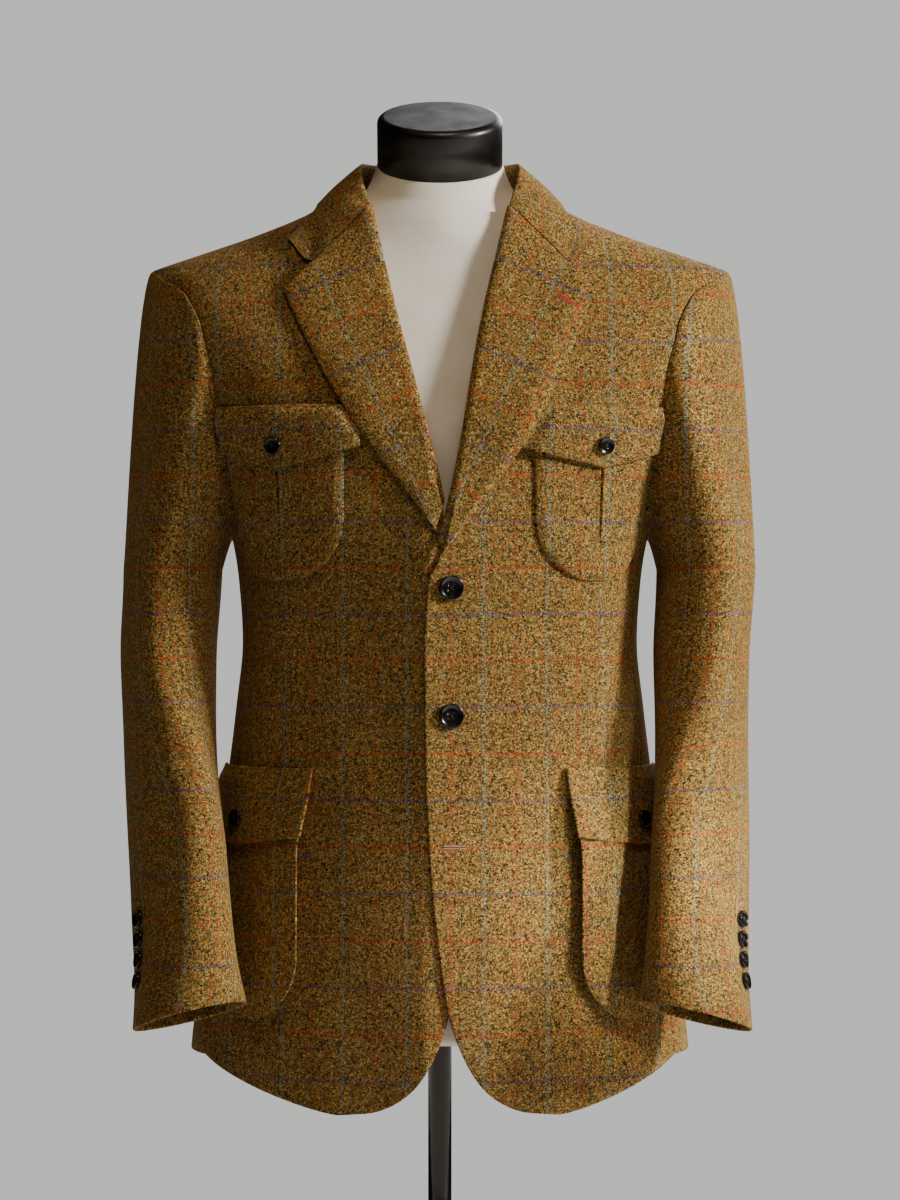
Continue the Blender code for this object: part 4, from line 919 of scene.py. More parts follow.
@dataclass
class Shell:
    """Cloth of even thickness with a rounded rim, from a grid of points on its face."""

    face: Array              # points, by row and column
    inward: Array            # unit directions to the other face
    cloth: Array             # flat cloth places in metres
    thickness: float
    rim_angles: tuple[float, ...] = (45.0, 90.0, 135.0)

    def mesh(self, name: str) -> Mesh:
        """Build the closed mesh with its cloth map.

        Args:
            name: name of the mesh.

        Returns:
            The mesh.
        """
        rows, cols = self.face.shape[:2]
        edge = self._edge(rows, cols)
        near = np.stack([np.clip(edge[:, 0], 1, rows - 2), np.clip(edge[:, 1], 1, cols - 2)], axis=1)
        out = self.face[edge[:, 0], edge[:, 1]] - self.face[near[:, 0], near[:, 1]]
        room = np.linalg.norm(out, axis=1, keepdims=True)
        out = unit(out)
        radius = np.minimum(self.thickness / 2.0, 0.6 * room)
        face = self.face.copy()
        face[edge[:, 0], edge[:, 1]] -= out * radius
        back = face + self.inward * self.thickness
        into = self.inward[edge[:, 0], edge[:, 1]]
        middle = face[edge[:, 0], edge[:, 1]] + into * self.thickness / 2.0
        place = self.cloth[edge[:, 0], edge[:, 1]]
        points = [face.reshape(-1, 3), back.reshape(-1, 3)]
        places = [self.cloth.reshape(-1, 2)] * 2
        for degrees in self.rim_angles:
            a = radians(degrees)
            points.append(middle - into * (self.thickness / 2.0 * cos(a)) + out * radius * sin(a))
            places.append(place)
        return self._join(name, np.concatenate(points), np.concatenate(places), edge)

    @staticmethod
    def _edge(rows: int, cols: int) -> Array:
        """Walk round the edge of the grid.

        Args:
            rows: rows of the grid.
            cols: columns of the grid.

        Returns:
            A row and a column for each point.
        """
        edge = [(0, j) for j in range(cols)] + [(i, cols - 1) for i in range(1, rows)]
        edge += [(rows - 1, j) for j in range(cols - 2, -1, -1)] + [(i, 0) for i in range(rows - 2, 0, -1)]
        return np.array(edge)

    def _join(self, name: str, points: Array, places: Array, edge: Array) -> Mesh:
        """Join the two faces and the rim.

        Args:
            name: name of the mesh.
            points: points of the faces, then of each line of the rim.
            places: flat cloth place of each point.
            edge: row and column of each point round the edge.

        Returns:
            The mesh.
        """
        count = self.cloth.size // 2
        index = np.arange(count).reshape(self.cloth.shape[:2])
        quads = np.stack([index[:-1, :-1], index[:-1, 1:], index[1:, 1:], index[1:, :-1]], -1).reshape(-1, 4)
        first = index[edge[:, 0], edge[:, 1]]
        lines = [first]
        lines += [2 * count + k * len(edge) + np.arange(len(edge)) for k in range(len(self.rim_angles))]
        lines.append(first + count)
        strips = []
        for a, b in zip(lines, lines[1:]):
            strips.append(np.stack([np.roll(a, -1), a, b, np.roll(b, -1)], axis=1))
        faces = np.concatenate([quads, quads[:, ::-1] + count, *strips])
        corner = points[quads]
        across = np.cross(corner[:, 1] - corner[:, 0], corner[:, 3] - corner[:, 0])
        if np.sum(across * self.inward[:-1, :-1].reshape(-1, 3)) > 0.0:
            faces = faces[:, ::-1]
        mesh = bpy.data.meshes.new(name)
        mesh.from_pydata(points.tolist(), [], faces.tolist())
        mesh.polygons.foreach_set("use_smooth", np.ones(len(faces), dtype=bool))
        layer = mesh.uv_layers.new(name=CLOTH_MAP)
        layer.data.foreach_set("uv", places[faces.reshape(-1)].astype(np.float32).reshape(-1))
        mesh.update()
        return mesh


@dataclass(frozen=True)
class Cut:
    """Flat cut of a piece of cloth and how it is held."""

    flat: tuple[float, float]     # width and length
    held: str
    rests_on: tuple[str, ...]
    area: float
    joins: tuple[str, ...] = ()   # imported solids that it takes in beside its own


@dataclass
class Workroom:
    """Dresses finished meshes: finish, body, the solids they stand for and a line in the log."""

    finishes: dict[str, Material]
    made: list[str] = field(default_factory=list)

    def place(self, mesh: Mesh, finish: str, nodes: tuple[str, ...], slot: str) -> Object:
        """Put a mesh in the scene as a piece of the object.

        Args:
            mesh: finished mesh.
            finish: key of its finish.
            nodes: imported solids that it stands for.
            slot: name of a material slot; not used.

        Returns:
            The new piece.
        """
        mesh.materials.append(self.finishes[finish])
        piece = add_object(mesh.name, mesh)
        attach(piece, BODY_NAME)
        if nodes:
            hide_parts(*nodes)
        self.made.append(mesh.name)
        LOG.info("%s: %d faces", mesh.name, len(mesh.polygons))
        return piece

    def sew(self, name: str, shell: Shell, nodes: tuple[str, ...]) -> Object:
        """Make a piece of the jacket's cloth.

        Args:
            name: name of the piece.
            shell: its shape.
            nodes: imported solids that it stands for.

        Returns:
            The new piece.
        """
        piece = self.place(shell.mesh(name), "tweed", nodes, "tweed")
        return piece


@dataclass(frozen=True)
class PairedCloth:
    """Pieces of cloth that come as a left and a right one."""

    def pieces(self, side: float) -> list[tuple[str, Shell, Cut]]:
        """Name, shape and cut of each piece of one side."""
        raise NotImplementedError

    def build(self, room: Workroom) -> None:
        """Sew the pieces of both sides.

        Args:
            room: workroom that places them.
        """
        for side, word in SIDES:
            for name, shell, cut in self.pieces(side):
                nodes = tuple(f"{node}_{word}" for node in (*cut.joins, name))
                room.sew(f"{name}_cloth_{word}", shell, nodes)


@dataclass(frozen=True)
class BodyPanels(PairedCloth):
    """Fronts, sides and backs of the jacket."""

    body: JacketBody
    wall: float = 0.0022
    roll_x0: float = 0.0004       # roll line of the lapel at roll_z, outward from the closing line
    roll_z: float = 1.2515
    roll_lean: float = 0.228
    roll_top: float = 1.488
    roll_backset: float = 0.0072
    roll_blend: float = 0.030     # the front edge passes into the roll line over this height
    neck_row: float = 0.958       # row where the roll line ends and the neck begins
    side_grain: float = 88.0      # turn of the grain line of a side panel
    rust_line: tuple[float, float] = (0.0077, 0.0503)   # first rust line, wearer's left and right
    edge: Table = Table(("row", "z", "x"), (
        (0.000, 0.7525, 0.0880), (0.030, 0.7550, 0.0620), (0.060, 0.7615, 0.0440), (0.100, 0.7740, 0.0275),
        (0.150, 0.7950, 0.0135), (0.220, 0.8300, 0.0005), (0.300, 0.8800, -0.0075), (0.400, 0.9550, -0.0150),
        (0.500, 1.0400, -0.0185), (0.600, 1.1250, -0.0195), (0.660, 1.1780, -0.0165),
    ))
    front_rows: tuple[float, ...] = (
        0.0, 0.03, 0.06, 0.10, 0.15, 0.21, 0.28, 0.36, 0.44, 0.52, 0.59, 0.63, 0.66, 0.70, 0.74,
        0.78, 0.82, 0.86, 0.90, 0.93, 0.958, 0.98, 1.0,
    )
    front_steps: tuple[float, ...] = (0.0, 0.06, 0.14, 0.23, 0.33, 0.43, 0.53, 0.63, 0.73, 0.83, 0.92, 1.0)
    back_rows: tuple[float, ...] = (
        0.0, 0.10, 0.21, 0.28, 0.36, 0.44, 0.52, 0.59, 0.63, 0.66, 0.70, 0.74, 0.78, 0.82, 0.86, 0.90,
        0.93, 0.958, 0.98, 1.0,
    )
    back_steps: tuple[float, ...] = (0.0, 0.10, 0.20, 0.30, 0.44, 0.58, 0.72, 0.86, 1.0)
    neck_share: float = 0.30
    seam_dip: float = 0.0016      # the cloth sinks into the armhole seam
    front_cut: Cut = Cut((0.285, 0.79), "hung", ("form_torso",), 0.147)
    side_cut: Cut = Cut((0.106, 0.452), "hung", ("form_torso",), 0.0398)
    back_cut: Cut = Cut((0.276, 0.752), "hung", ("form_torso",), 0.1525)

    def roll(self, z: Array) -> Array:
        """Roll line of the lapel, outward from the closing line."""
        return self.roll_x0 + self.roll_lean * (np.asarray(z) - self.roll_z)

    def rust(self, side: float) -> float:
        """Place of the first rust line on a front."""
        return self.rust_line[0] if side > 0 else self.rust_line[1]

    def front_border(self, side: float, rows: Array) -> tuple[Array, Array]:
        """Front edge, roll line and front neck.

        Args:
            side: 1 for the left, -1 for the right.
            rows: shares from the hem to the shoulder.

        Returns:
            Turns and levels.
        """
        body = self.body
        last, start_z, start_x = self.edge.rows[-1]
        rise = start_z + (self.roll_top - start_z) * (rows - last) / (self.neck_row - last)
        blend = ease((rise - start_z) / self.roll_blend)
        upper = start_x * (1.0 - blend) + (self.roll(rise) + self.roll_backset) * blend
        low = rows <= last
        z = np.where(low, self.edge.read("z", rows), rise)
        x = np.where(low, self.edge.read("x", rows), upper)
        turn = body.turn_at(x + side * body.closing(z), z, False)
        neck = rows > self.neck_row
        start = turn[np.argmin(np.abs(rows - self.neck_row))]
        past = start + (pi / 2.0 - start) * (rows - self.neck_row) / (1.0 - self.neck_row)
        turn = np.where(neck, past, turn)
        return turn, np.where(neck, body.neck.read("z", np.degrees(turn)), z)

    def front(self, side: float) -> Shell:
        """One front, from its edge and roll line to the side seam and the armhole.

        Args:
            side: 1 for the left, -1 for the right.

        Returns:
            The cloth.
        """
        body = self.body
        rows = refine(self.front_rows, 5)
        u = refine(self.front_steps, 4)
        edge_turn, edge_z = self.front_border(side, rows)
        side_turn, side_z = body.side_line(rows, False)
        shoulder_z = edge_z[-1] + (side_z[-1] - edge_z[-1]) * u
        shoulder = body.seam_step(pi / 2.0, shoulder_z, -1.0)
        edge_turn[-1] = shoulder[0]
        side_turn[-1] = shoulder[-1]
        hem_z = edge_z[0] + (side_z[0] - edge_z[0]) * u ** 1.4
        hem = edge_turn[0] + (side_turn[0] - edge_turn[0]) * u
        turn = patch(hem, shoulder, edge_turn, side_turn, u, rows)
        z = patch(hem_z, shoulder_z, edge_z, side_z, u, rows)
        inward = -body.normal(turn, z) * np.array([side, 1.0, 1.0])
        upper = ease((rows - 0.60) / 0.08)[:, None] * (1.0 - ease((rows - 0.96) / 0.04))[:, None]
        dip = -self.seam_dip * upper * ease((u - 0.94) / 0.06)[None, :]
        face = body.over(side, turn, z, dip)
        return Shell(face, inward, body.cloth(turn, z, self.rust(side)), self.wall)

    def side(self, side: float) -> Shell:
        """Side panel under an arm.

        Args:
            side: 1 for the left, -1 for the right.

        Returns:
            The cloth.
        """
        body = self.body
        u = np.linspace(0.0, 1.0, 25)
        rows = refine([r for r in self.back_rows if r <= body.side_row], 5) / body.side_row
        foot = radians(body.arm_foot)
        levels = body.hem_side + (body.foot_level - body.hem_side) * rows
        first = body.seam_step(radians(body.front_seam), levels, 1.0)
        last = body.seam_step(radians(body.back_seam), levels, -1.0)
        top, top_z = body.armhole(foot + (tau - 2.0 * foot) * u)
        top[0] = first[-1]
        top[-1] = last[-1]
        hem = first[0] + (last[0] - first[0]) * u
        turn = patch(hem, top, first, last, u, rows)
        z = patch(np.full(hem.shape, body.hem_side), top_z, levels, levels, u, rows)
        mirror = np.array([side, 1.0, 1.0])
        middle = body.arc(radians(self.side_grain), z)
        cloth = np.stack([body.arc(turn, z) - middle, body.drop(z)], axis=-1)
        return Shell(body.point(turn, z) * mirror, -body.normal(turn, z) * mirror, cloth, self.wall)

    def back(self, side: float) -> Shell:
        """Half of the back, from the centre seam to the side seam and the armhole.

        Args:
            side: 1 for the left, -1 for the right.

        Returns:
            The cloth.
        """
        body = self.body
        rows = refine(self.back_rows, 5)
        u = refine(self.back_steps, 5)
        side_turn, side_z = body.side_line(rows, True)
        in_neck = np.clip(u / self.neck_share, 0.0, 1.0)
        past = np.clip((u - self.neck_share) / (1.0 - self.neck_share), 0.0, 1.0)
        neck_turn = pi - (pi / 2.0) * in_neck
        neck_z = body.neck.read("z", np.degrees(neck_turn))
        top_z = np.where(u <= self.neck_share, neck_z, neck_z[-1] + (side_z[-1] - neck_z[-1]) * past)
        top = body.seam_step(neck_turn, top_z, 1.0)
        centre_z = body.hem_back + (top_z[0] - body.hem_back) * rows
        centre = body.seam_step(pi, centre_z, -1.0)
        top[0] = centre[-1]
        side_turn[-1] = top[-1]
        hem = centre[0] + (side_turn[0] - centre[0]) * u
        hem_z = body.hem_back + (side_z[0] - body.hem_back) * u
        turn = patch(hem, top, centre, side_turn, u, rows, 6.0)
        z = patch(hem_z, top_z, centre_z, side_z, u, rows, 6.0)
        normal = body.normal(turn, z)
        point = body.point(turn, z)
        calm = ease(u / 0.15) * ease((1.0 - u) / 0.15)
        rise = body.back_folds.height(point[..., 0], z) * calm[None, :] * (1.0 - ease((z - 1.40) / 0.05))
        mirror = np.array([side, 1.0, 1.0])
        face = (point + normal * rise[..., None]) * mirror
        cloth = np.stack([body.arc(pi, z) - body.arc(turn, z), body.drop(z)], axis=-1)
        return Shell(face, -normal * mirror, cloth, self.wall)

    def pieces(self, side: float) -> list[tuple[str, Shell, Cut]]:
        """The three panels of one side."""
        return [("front", self.front(side), self.front_cut), ("side", self.side(side), self.side_cut),
                ("back", self.back(side), self.back_cut)]


@dataclass(frozen=True)
class Sleeves(PairedCloth):
    """Two-piece sleeves: a cap that eases out of the armhole and a bent tube down to the cuff."""

    body: JacketBody
    wall: float = 0.0022
    slant_out: float = 0.24       # the hem drops to the outside
    slant_back: float = 0.20      # and to the back
    fore_seam: tuple[float, float] = (140.0, 178.0)
    hind_seam: tuple[float, float] = (285.88, 340.0)
    seam_turn: float = 0.0042
    seam_dip: float = 0.0030      # the cap rises out of the armhole seam
    seam_draw: float = 0.0012     # which draws it in a little
    dip_share: float = 0.12       # over this share of the cap
    hole_x: float = 0.205         # middle of the armhole
    cap_bulge: tuple[float, float] = (0.008, 0.014)   # outward and ahead
    cap_guide: tuple[float, float, float] = (0.32, 0.50, 0.16)
    crown_rise: float = 0.013     # the cap stands up from the shoulder seam
    bulge_reach: float = 0.10     # a shorter cap bulges less
    cap_space: float = 0.0005     # space between the cap and the body
    cap_lift: float = 0.0006      # and its rise at the underarm
    sway_step: tuple[float, float] = (-1.215, 0.10)   # the sway begins below the armpit
    grain_around: float = 28.0    # a teal line of the check runs here
    fold_radius: float = 0.060    # mean radius, for folds measured round the sleeve
    rings: Table = Table(("z", "x", "y", "half_wide", "half_deep", "yaw", "slant", "sway"), (
        (1.190, 0.2225, -0.004, 0.0410, 0.0770, 0.0, 0.0, -0.0020),
        (1.120, 0.2215, -0.018, 0.0400, 0.0735, 4.0, 0.0, -0.0040),
        (1.040, 0.2190, -0.045, 0.0370, 0.0690, 14.0, 0.1, -0.0030),
        (0.960, 0.2135, -0.080, 0.0345, 0.0620, 26.0, 0.3, -0.0005),
        (0.890, 0.2075, -0.110, 0.0370, 0.0560, 28.0, 0.6, 0.0010),
        (0.832, 0.2020, -0.133, 0.0455, 0.0490, 20.0, 1.0, 0.0025),
    ))
    folds: Table = Table(("around", "z", "lean", "width", "length", "height"), (
        (70.0, 1.120, 90.0, 0.016, 0.090, 0.0035),
        (105.0, 1.030, -70.0, 0.016, 0.080, 0.0035),
        (40.0, 0.965, 60.0, 0.018, 0.090, -0.0030),
        (250.0, 1.050, -80.0, 0.020, 0.090, 0.0035),
    ))
    ways: tuple[float, ...] = (
        0.0, 0.12, 0.25, 0.40, 0.56, 0.76, 1.0, 1.15, 1.30, 1.44, 1.58, 1.72, 1.86, 2.0,
    )
    top_cut: Cut = Cut((0.25, 0.64), "hung", ("form_torso",), 0.120, ("sleeve_head",))
    under_cut: Cut = Cut((0.19, 0.57), "hung", ("form_torso",), 0.0686)

    @property
    def top(self) -> float:
        """Level where the cap becomes the tube."""
        return self.rings.rows[0][0]

    @property
    def bottom(self) -> float:
        """Level of the hem at the axis of the tube."""
        return self.rings.rows[-1][0]

    def ring(self, around: Array, level: Array) -> Array:
        """Points of the tube on the wearer's left.

        Args:
            around: angles from the outside round by the front.
            level: levels before the slant of the hem.

        Returns:
            Points.
        """
        read = self.rings.read
        wide = read("half_wide", level)
        deep = read("half_deep", level)
        yaw = np.radians(read("yaw", level))
        out = wide * np.cos(around) * np.cos(yaw) - deep * np.sin(around) * np.sin(yaw)
        ahead = deep * np.sin(around) * np.cos(yaw) + wide * np.cos(around) * np.sin(yaw)
        grow = np.zeros(np.broadcast(around, level).shape)
        for mid, at_z, *shape in self.folds.rows:
            along = np.angle(np.exp(1j * (around - radians(mid)))) * self.fold_radius
            grow = grow + ridge(along, level - at_z, *shape)
        swell = 1.0 + grow / np.sqrt(out * out + ahead * ahead)
        z = level - read("slant", level) * (self.slant_out * out - self.slant_back * ahead)
        return np.stack([read("x", level) + out * swell, read("y", level) - ahead * swell, z], axis=-1)

    def point(self, around: Array, way: Array) -> Array:
        """Points of the sleeve on the wearer's left.

        Args:
            around: angles from the outside round by the front.
            way: 0 to 1 over the cap from the armhole, 1 to 2 down to the hem.

        Returns:
            Points.
        """
        body = self.body
        around, way = np.broadcast_arrays(around, way)
        turn, z = body.armhole(around)
        seat = body.point(turn, z)
        normal = body.normal(turn, z)
        after = body.point(*body.armhole(around + 1e-3))
        before = body.point(*body.armhole(around - 1e-3))
        into = unit(np.cross(unit(after - before), normal))
        hole = np.array([self.hole_x, 0.0, body.arm_middle]) - seat
        into = into * np.sign(np.sum(into * hole, axis=-1, keepdims=True))
        low = (1.0 - np.cos(around)) / 2.0
        start = seat + into * self.cap_space + normal * (self.cap_lift * low)[..., None]
        ring = self.ring(around, np.full(around.shape, self.top))
        reach = np.linalg.norm(ring - start, axis=-1, keepdims=True)
        swing = np.sin(around)
        out, ahead = self.cap_bulge
        bulge = np.stack([out * np.abs(swing), -ahead * swing, np.zeros(swing.shape)], axis=-1)
        bulge = bulge * np.minimum(1.0, reach / self.bulge_reach)
        guide = start + (ring - start) * np.array(self.cap_guide) + bulge
        crown = ease((1.0 - low[..., None] - 0.5) / 0.5)
        guide = guide * (1.0 - crown) + (start + into * self.crown_rise) * crown
        t = np.clip(way, 0.0, 1.0)[..., None]
        cap = (1.0 - t) ** 2 * start + 2.0 * t * (1.0 - t) * guide + t * t * ring
        sunk = np.clip(1.0 - t / self.dip_share, 0.0, 1.0) ** 2
        cap = cap - (normal * self.seam_dip + into * self.seam_draw) * sunk * (1.0 - 0.8 * crown)
        tube = self.ring(around, self.top + (self.bottom - self.top) * np.clip(way - 1.0, 0.0, 1.0))
        return np.where((way <= 1.0)[..., None], cap, tube)

    def hang(self, side: float, points: Array) -> Array:
        """Put points on their side of the body, with the drift of the hanging pair.

        Args:
            side: 1 for the left, -1 for the right.
            points: points on the wearer's left.

        Returns:
            Points in place.
        """
        drift = self.rings.read("sway", np.minimum(points[..., 2], self.top))
        drift = drift * step_up(-points[..., 2], self.sway_step)
        points = points * np.array([side, 1.0, 1.0])
        points[..., 0] += drift
        return points

    def seam(self, ends: tuple[float, float], way: Array) -> Array:
        """Angle of a seam, which winds a little on its way to the cuff."""
        return np.radians(ends[0] + (ends[1] - ends[0]) * ease(way / 2.0))

    def half(self, side: float, under: bool) -> Shell:
        """Top or under half of a sleeve.

        Args:
            side: 1 for the left, -1 for the right.
            under: True for the under half.

        Returns:
            The cloth.
        """
        ways = refine(self.ways, 8)
        hind = self.seam(self.hind_seam, ways)[:, None]
        fore = self.seam(self.fore_seam, ways)[:, None]
        first = fore if under else hind - tau
        last = hind if under else fore
        share = np.linspace(0.0, 1.0, 61)[None, :]
        around = first + self.seam_turn + (last - first - 2.0 * self.seam_turn) * share
        way = np.repeat(ways[:, None], around.shape[1], axis=1)
        face = self.point(around, way)
        h = 1e-3
        back_way = np.where(way > 1.999, way - h, way)
        sideways = self.point(around + h, way) - self.point(around - h, way)
        down = self.point(around, back_way + h) - self.point(around, back_way)
        inward = unit(np.cross(down, sideways))
        level = np.minimum(face[..., 2], self.top)
        axis = np.stack([self.rings.read("x", level), self.rings.read("y", level), face[..., 2]], axis=-1)
        tube = ways >= 1.0
        if np.sum(inward[tube] * (axis - face)[tube]) < 0.0:
            inward = -inward
        cloth = self._cloth(around, face, way)
        return Shell(self.hang(side, face), inward * np.array([side, 1.0, 1.0]), cloth, self.wall)

    def _cloth(self, around: Array, face: Array, way: Array) -> Array:
        """Flat cloth places: lengths round from the grain line, and down the bent axis.

        Args:
            around: angle of each point.
            face: points.
            way: way of each point down the sleeve.

        Returns:
            Places across and up the flat cloth.
        """
        grain = radians(self.grain_around)
        length = run_length(face, 1)
        beyond = np.array([np.interp(grain, a, s) for a, s in zip(around, length)])
        tube = length - beyond[:, None]
        _, x, y, wide, deep = self.rings.rows[0][:5]
        angle = np.arctan2((y - face[..., 1]) / deep, (face[..., 0] - x) / wide)
        angle = around + np.angle(np.exp(1j * (angle - around)))
        circle = np.linspace(-tau, 4.0 * pi, 900)
        ring = self.ring(circle, np.full(circle.shape, self.top))
        run = run_length(ring)
        cap = np.interp(angle, circle, run) - np.interp(grain, circle, run)
        offset = (tube - cap)[np.argmin(np.abs(way[:, 0] - 1.0))][None, :]
        wide_place = np.where(way < 1.0, cap + offset, tube)
        levels = np.linspace(self.bottom, self.top, 120)
        axis = np.stack([self.rings.read("x", levels), self.rings.read("y", levels), levels], axis=-1)
        drop = run_length(axis)
        level = self.top + (self.bottom - self.top) * np.clip(way - 1.0, 0.0, 1.0)
        down = np.interp(level, levels, drop - drop[-1]) + (face[..., 2] - level)
        up = np.where(way <= 1.0, face[..., 2] - self.top, down)
        return np.stack([wide_place, up + self.top - self.body.check_z], axis=-1)

    def pieces(self, side: float) -> list[tuple[str, Shell, Cut]]:
        """One sleeve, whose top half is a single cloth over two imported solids."""
        return [("sleeve_top", self.half(side, False), self.top_cut),
                ("sleeve_under", self.half(side, True), self.under_cut)]


def inward_of(grid: Array, inside: Array) -> Array:
    """Unit directions across a grid of points.

    Args:
        grid: points by row and column.
        inside: points on the side to point at.

    Returns:
        Directions.
    """
    n = unit(np.cross(np.gradient(grid, axis=0), np.gradient(grid, axis=1)))
    return -n if np.sum(n * (inside - grid)) < 0.0 else n


@dataclass(frozen=True)
class Lapels(PairedCloth):
    """Lapels that curl out of the roll line and lie back over the fronts."""

    panels: BodyPanels
    thin: float = 0.0018
    start: float = 1.197          # the lapel begins to turn here
    low: float = 0.0046           # height of its face above the front at the edge
    perch: tuple[float, float, float] = (1.302, 0.034, 0.0034)   # the edge rides over the breast flap
    high: float = 0.0064          # and beside the roll
    right_start: float = 0.11     # the lower lapel shows from here up
    right_roll: tuple[float, float] = (0.004, 0.016)   # its roll begins further out and higher
    right_sink: float = 0.4       # and its edge rounds off less
    tame_rows: float = 0.25       # the lapel is flatter over its first rows
    tame_least: float = 0.25
    grain: float = 24.0           # the cloth turns with the lapel's edge
    line_drop: float = 0.015      # and its check lies lower than on the front
    gorge_up: tuple[float, float] = (0.696, 0.718)
    seam: float = 0.0003
    outline: Table = Table(("row", "z", "x"), (
        (0.00, 1.1987, -0.0080), (0.15, 1.2300, 0.0170), (0.35, 1.2700, 0.0470), (0.60, 1.3250, 0.0840),
        (0.80, 1.3720, 0.1075), (1.00, 1.4170, 0.1275),
    ))
    across: Table = Table(("back", "height"), (
        (0.0032, -0.0010), (0.0004, 0.0014), (0.0014, 0.0046), (0.0056, 0.0064),
    ))
    steps: tuple[tuple[float, float], ...] = (    # shares of the width, and how far the edge rounds off
        (0.26, 0.0), (0.48, 0.0), (0.68, -0.0005), (0.81, -0.0012), (0.91, 0.0001), (1.0, 0.0027),
    )
    cut: Cut = Cut((0.106, 0.29), "folded", FRONTS, 0.018)

    def lapel(self, side: float) -> Shell:
        """One lapel.

        Args:
            side: 1 for the left, -1 for the right.

        Returns:
            The cloth.
        """
        body = self.panels.body
        share = np.linspace(0.0, 1.0, 64)
        start = 0.0 if side > 0 else self.right_start
        rows = start + (1.0 - start) * share
        out_z = self.outline.read("z", rows)
        out_x = self.outline.read("x", rows)
        roll_z = self.start + (self.panels.roll_top - self.start) * rows
        roll = self.panels.roll(roll_z)
        if side < 0:
            roll_z = roll_z + self.right_roll[1] * (1.0 - share) ** 3
            roll = self.panels.roll(roll_z) + self.right_roll[0] * (1.0 - share) ** 2
        full = np.hypot(out_x - roll, out_z - roll_z)
        lean_x = (out_x - roll) / full
        lean_z = (out_z - roll_z) / full
        tame = ease((rows - start) / self.tame_rows) * (1.0 - self.tame_least) + self.tame_least
        perched = self.perch[2] * np.exp(-(((out_z - self.perch[0]) / self.perch[1]) ** 2))
        places = []
        for back, height in self.across.rows:
            back = np.minimum(back, full * 0.5)
            places.append((roll + lean_x * back, roll_z + lean_z * back, height * tame))
        for step, sink in self.steps:
            rise = self.low + (self.high - self.low) * (1.0 - ease(step)) * tame
            rise = rise + perched * ease(step) - sink * tame * (1.0 if side > 0 else self.right_sink)
            along = np.maximum(0.006, full * step) if step < 1.0 else full
            places.append((roll + lean_x * along, roll_z + lean_z * along, rise))
        x = np.stack([p[0] for p in places], axis=1)
        z = np.stack([p[1] for p in places], axis=1)
        height = np.stack([np.broadcast_to(p[2], rows.shape) for p in places], axis=1)
        x[-1] -= self.gorge_up[0] * self.seam * 0.7
        z[-1] -= self.gorge_up[1] * self.seam * 0.7
        turn = body.turn_at(x + side * body.closing(z), z, False)
        knots = body.over(side, turn, z, height)
        at = np.linspace(0.0, 1.0, 34)
        face = np.stack([smooth_line(line, at) for line in knots])
        deep = body.over(side, turn, z, np.full(turn.shape, -0.004))
        deep[:, :2] = deep[:, 4:5] + (deep[:, :2] - deep[:, 4:5]) * 0.2
        inside = np.stack([smooth_line(line, at) for line in deep])
        return Shell(face, inward_of(face, inside), self._cloth(face, side), self.thin)

    def _cloth(self, face: Array, side: float) -> Array:
        """Flat cloth places, turned with the lapel.

        Args:
            face: points of the lapel.
            side: 1 for the left, -1 for the right.

        Returns:
            Places across and up the flat cloth.
        """
        c = cos(radians(self.grain))
        s = sin(radians(self.grain))
        x = face[..., 0] * side
        z = face[..., 2] - self.panels.body.check_z
        return np.stack([x * c - z * s, x * s + z * c + self.line_drop], axis=-1)

    def pieces(self, side: float) -> list[tuple[str, Shell, Cut]]:
        """One lapel."""
        return [("lapel", self.lapel(side), self.cut)]


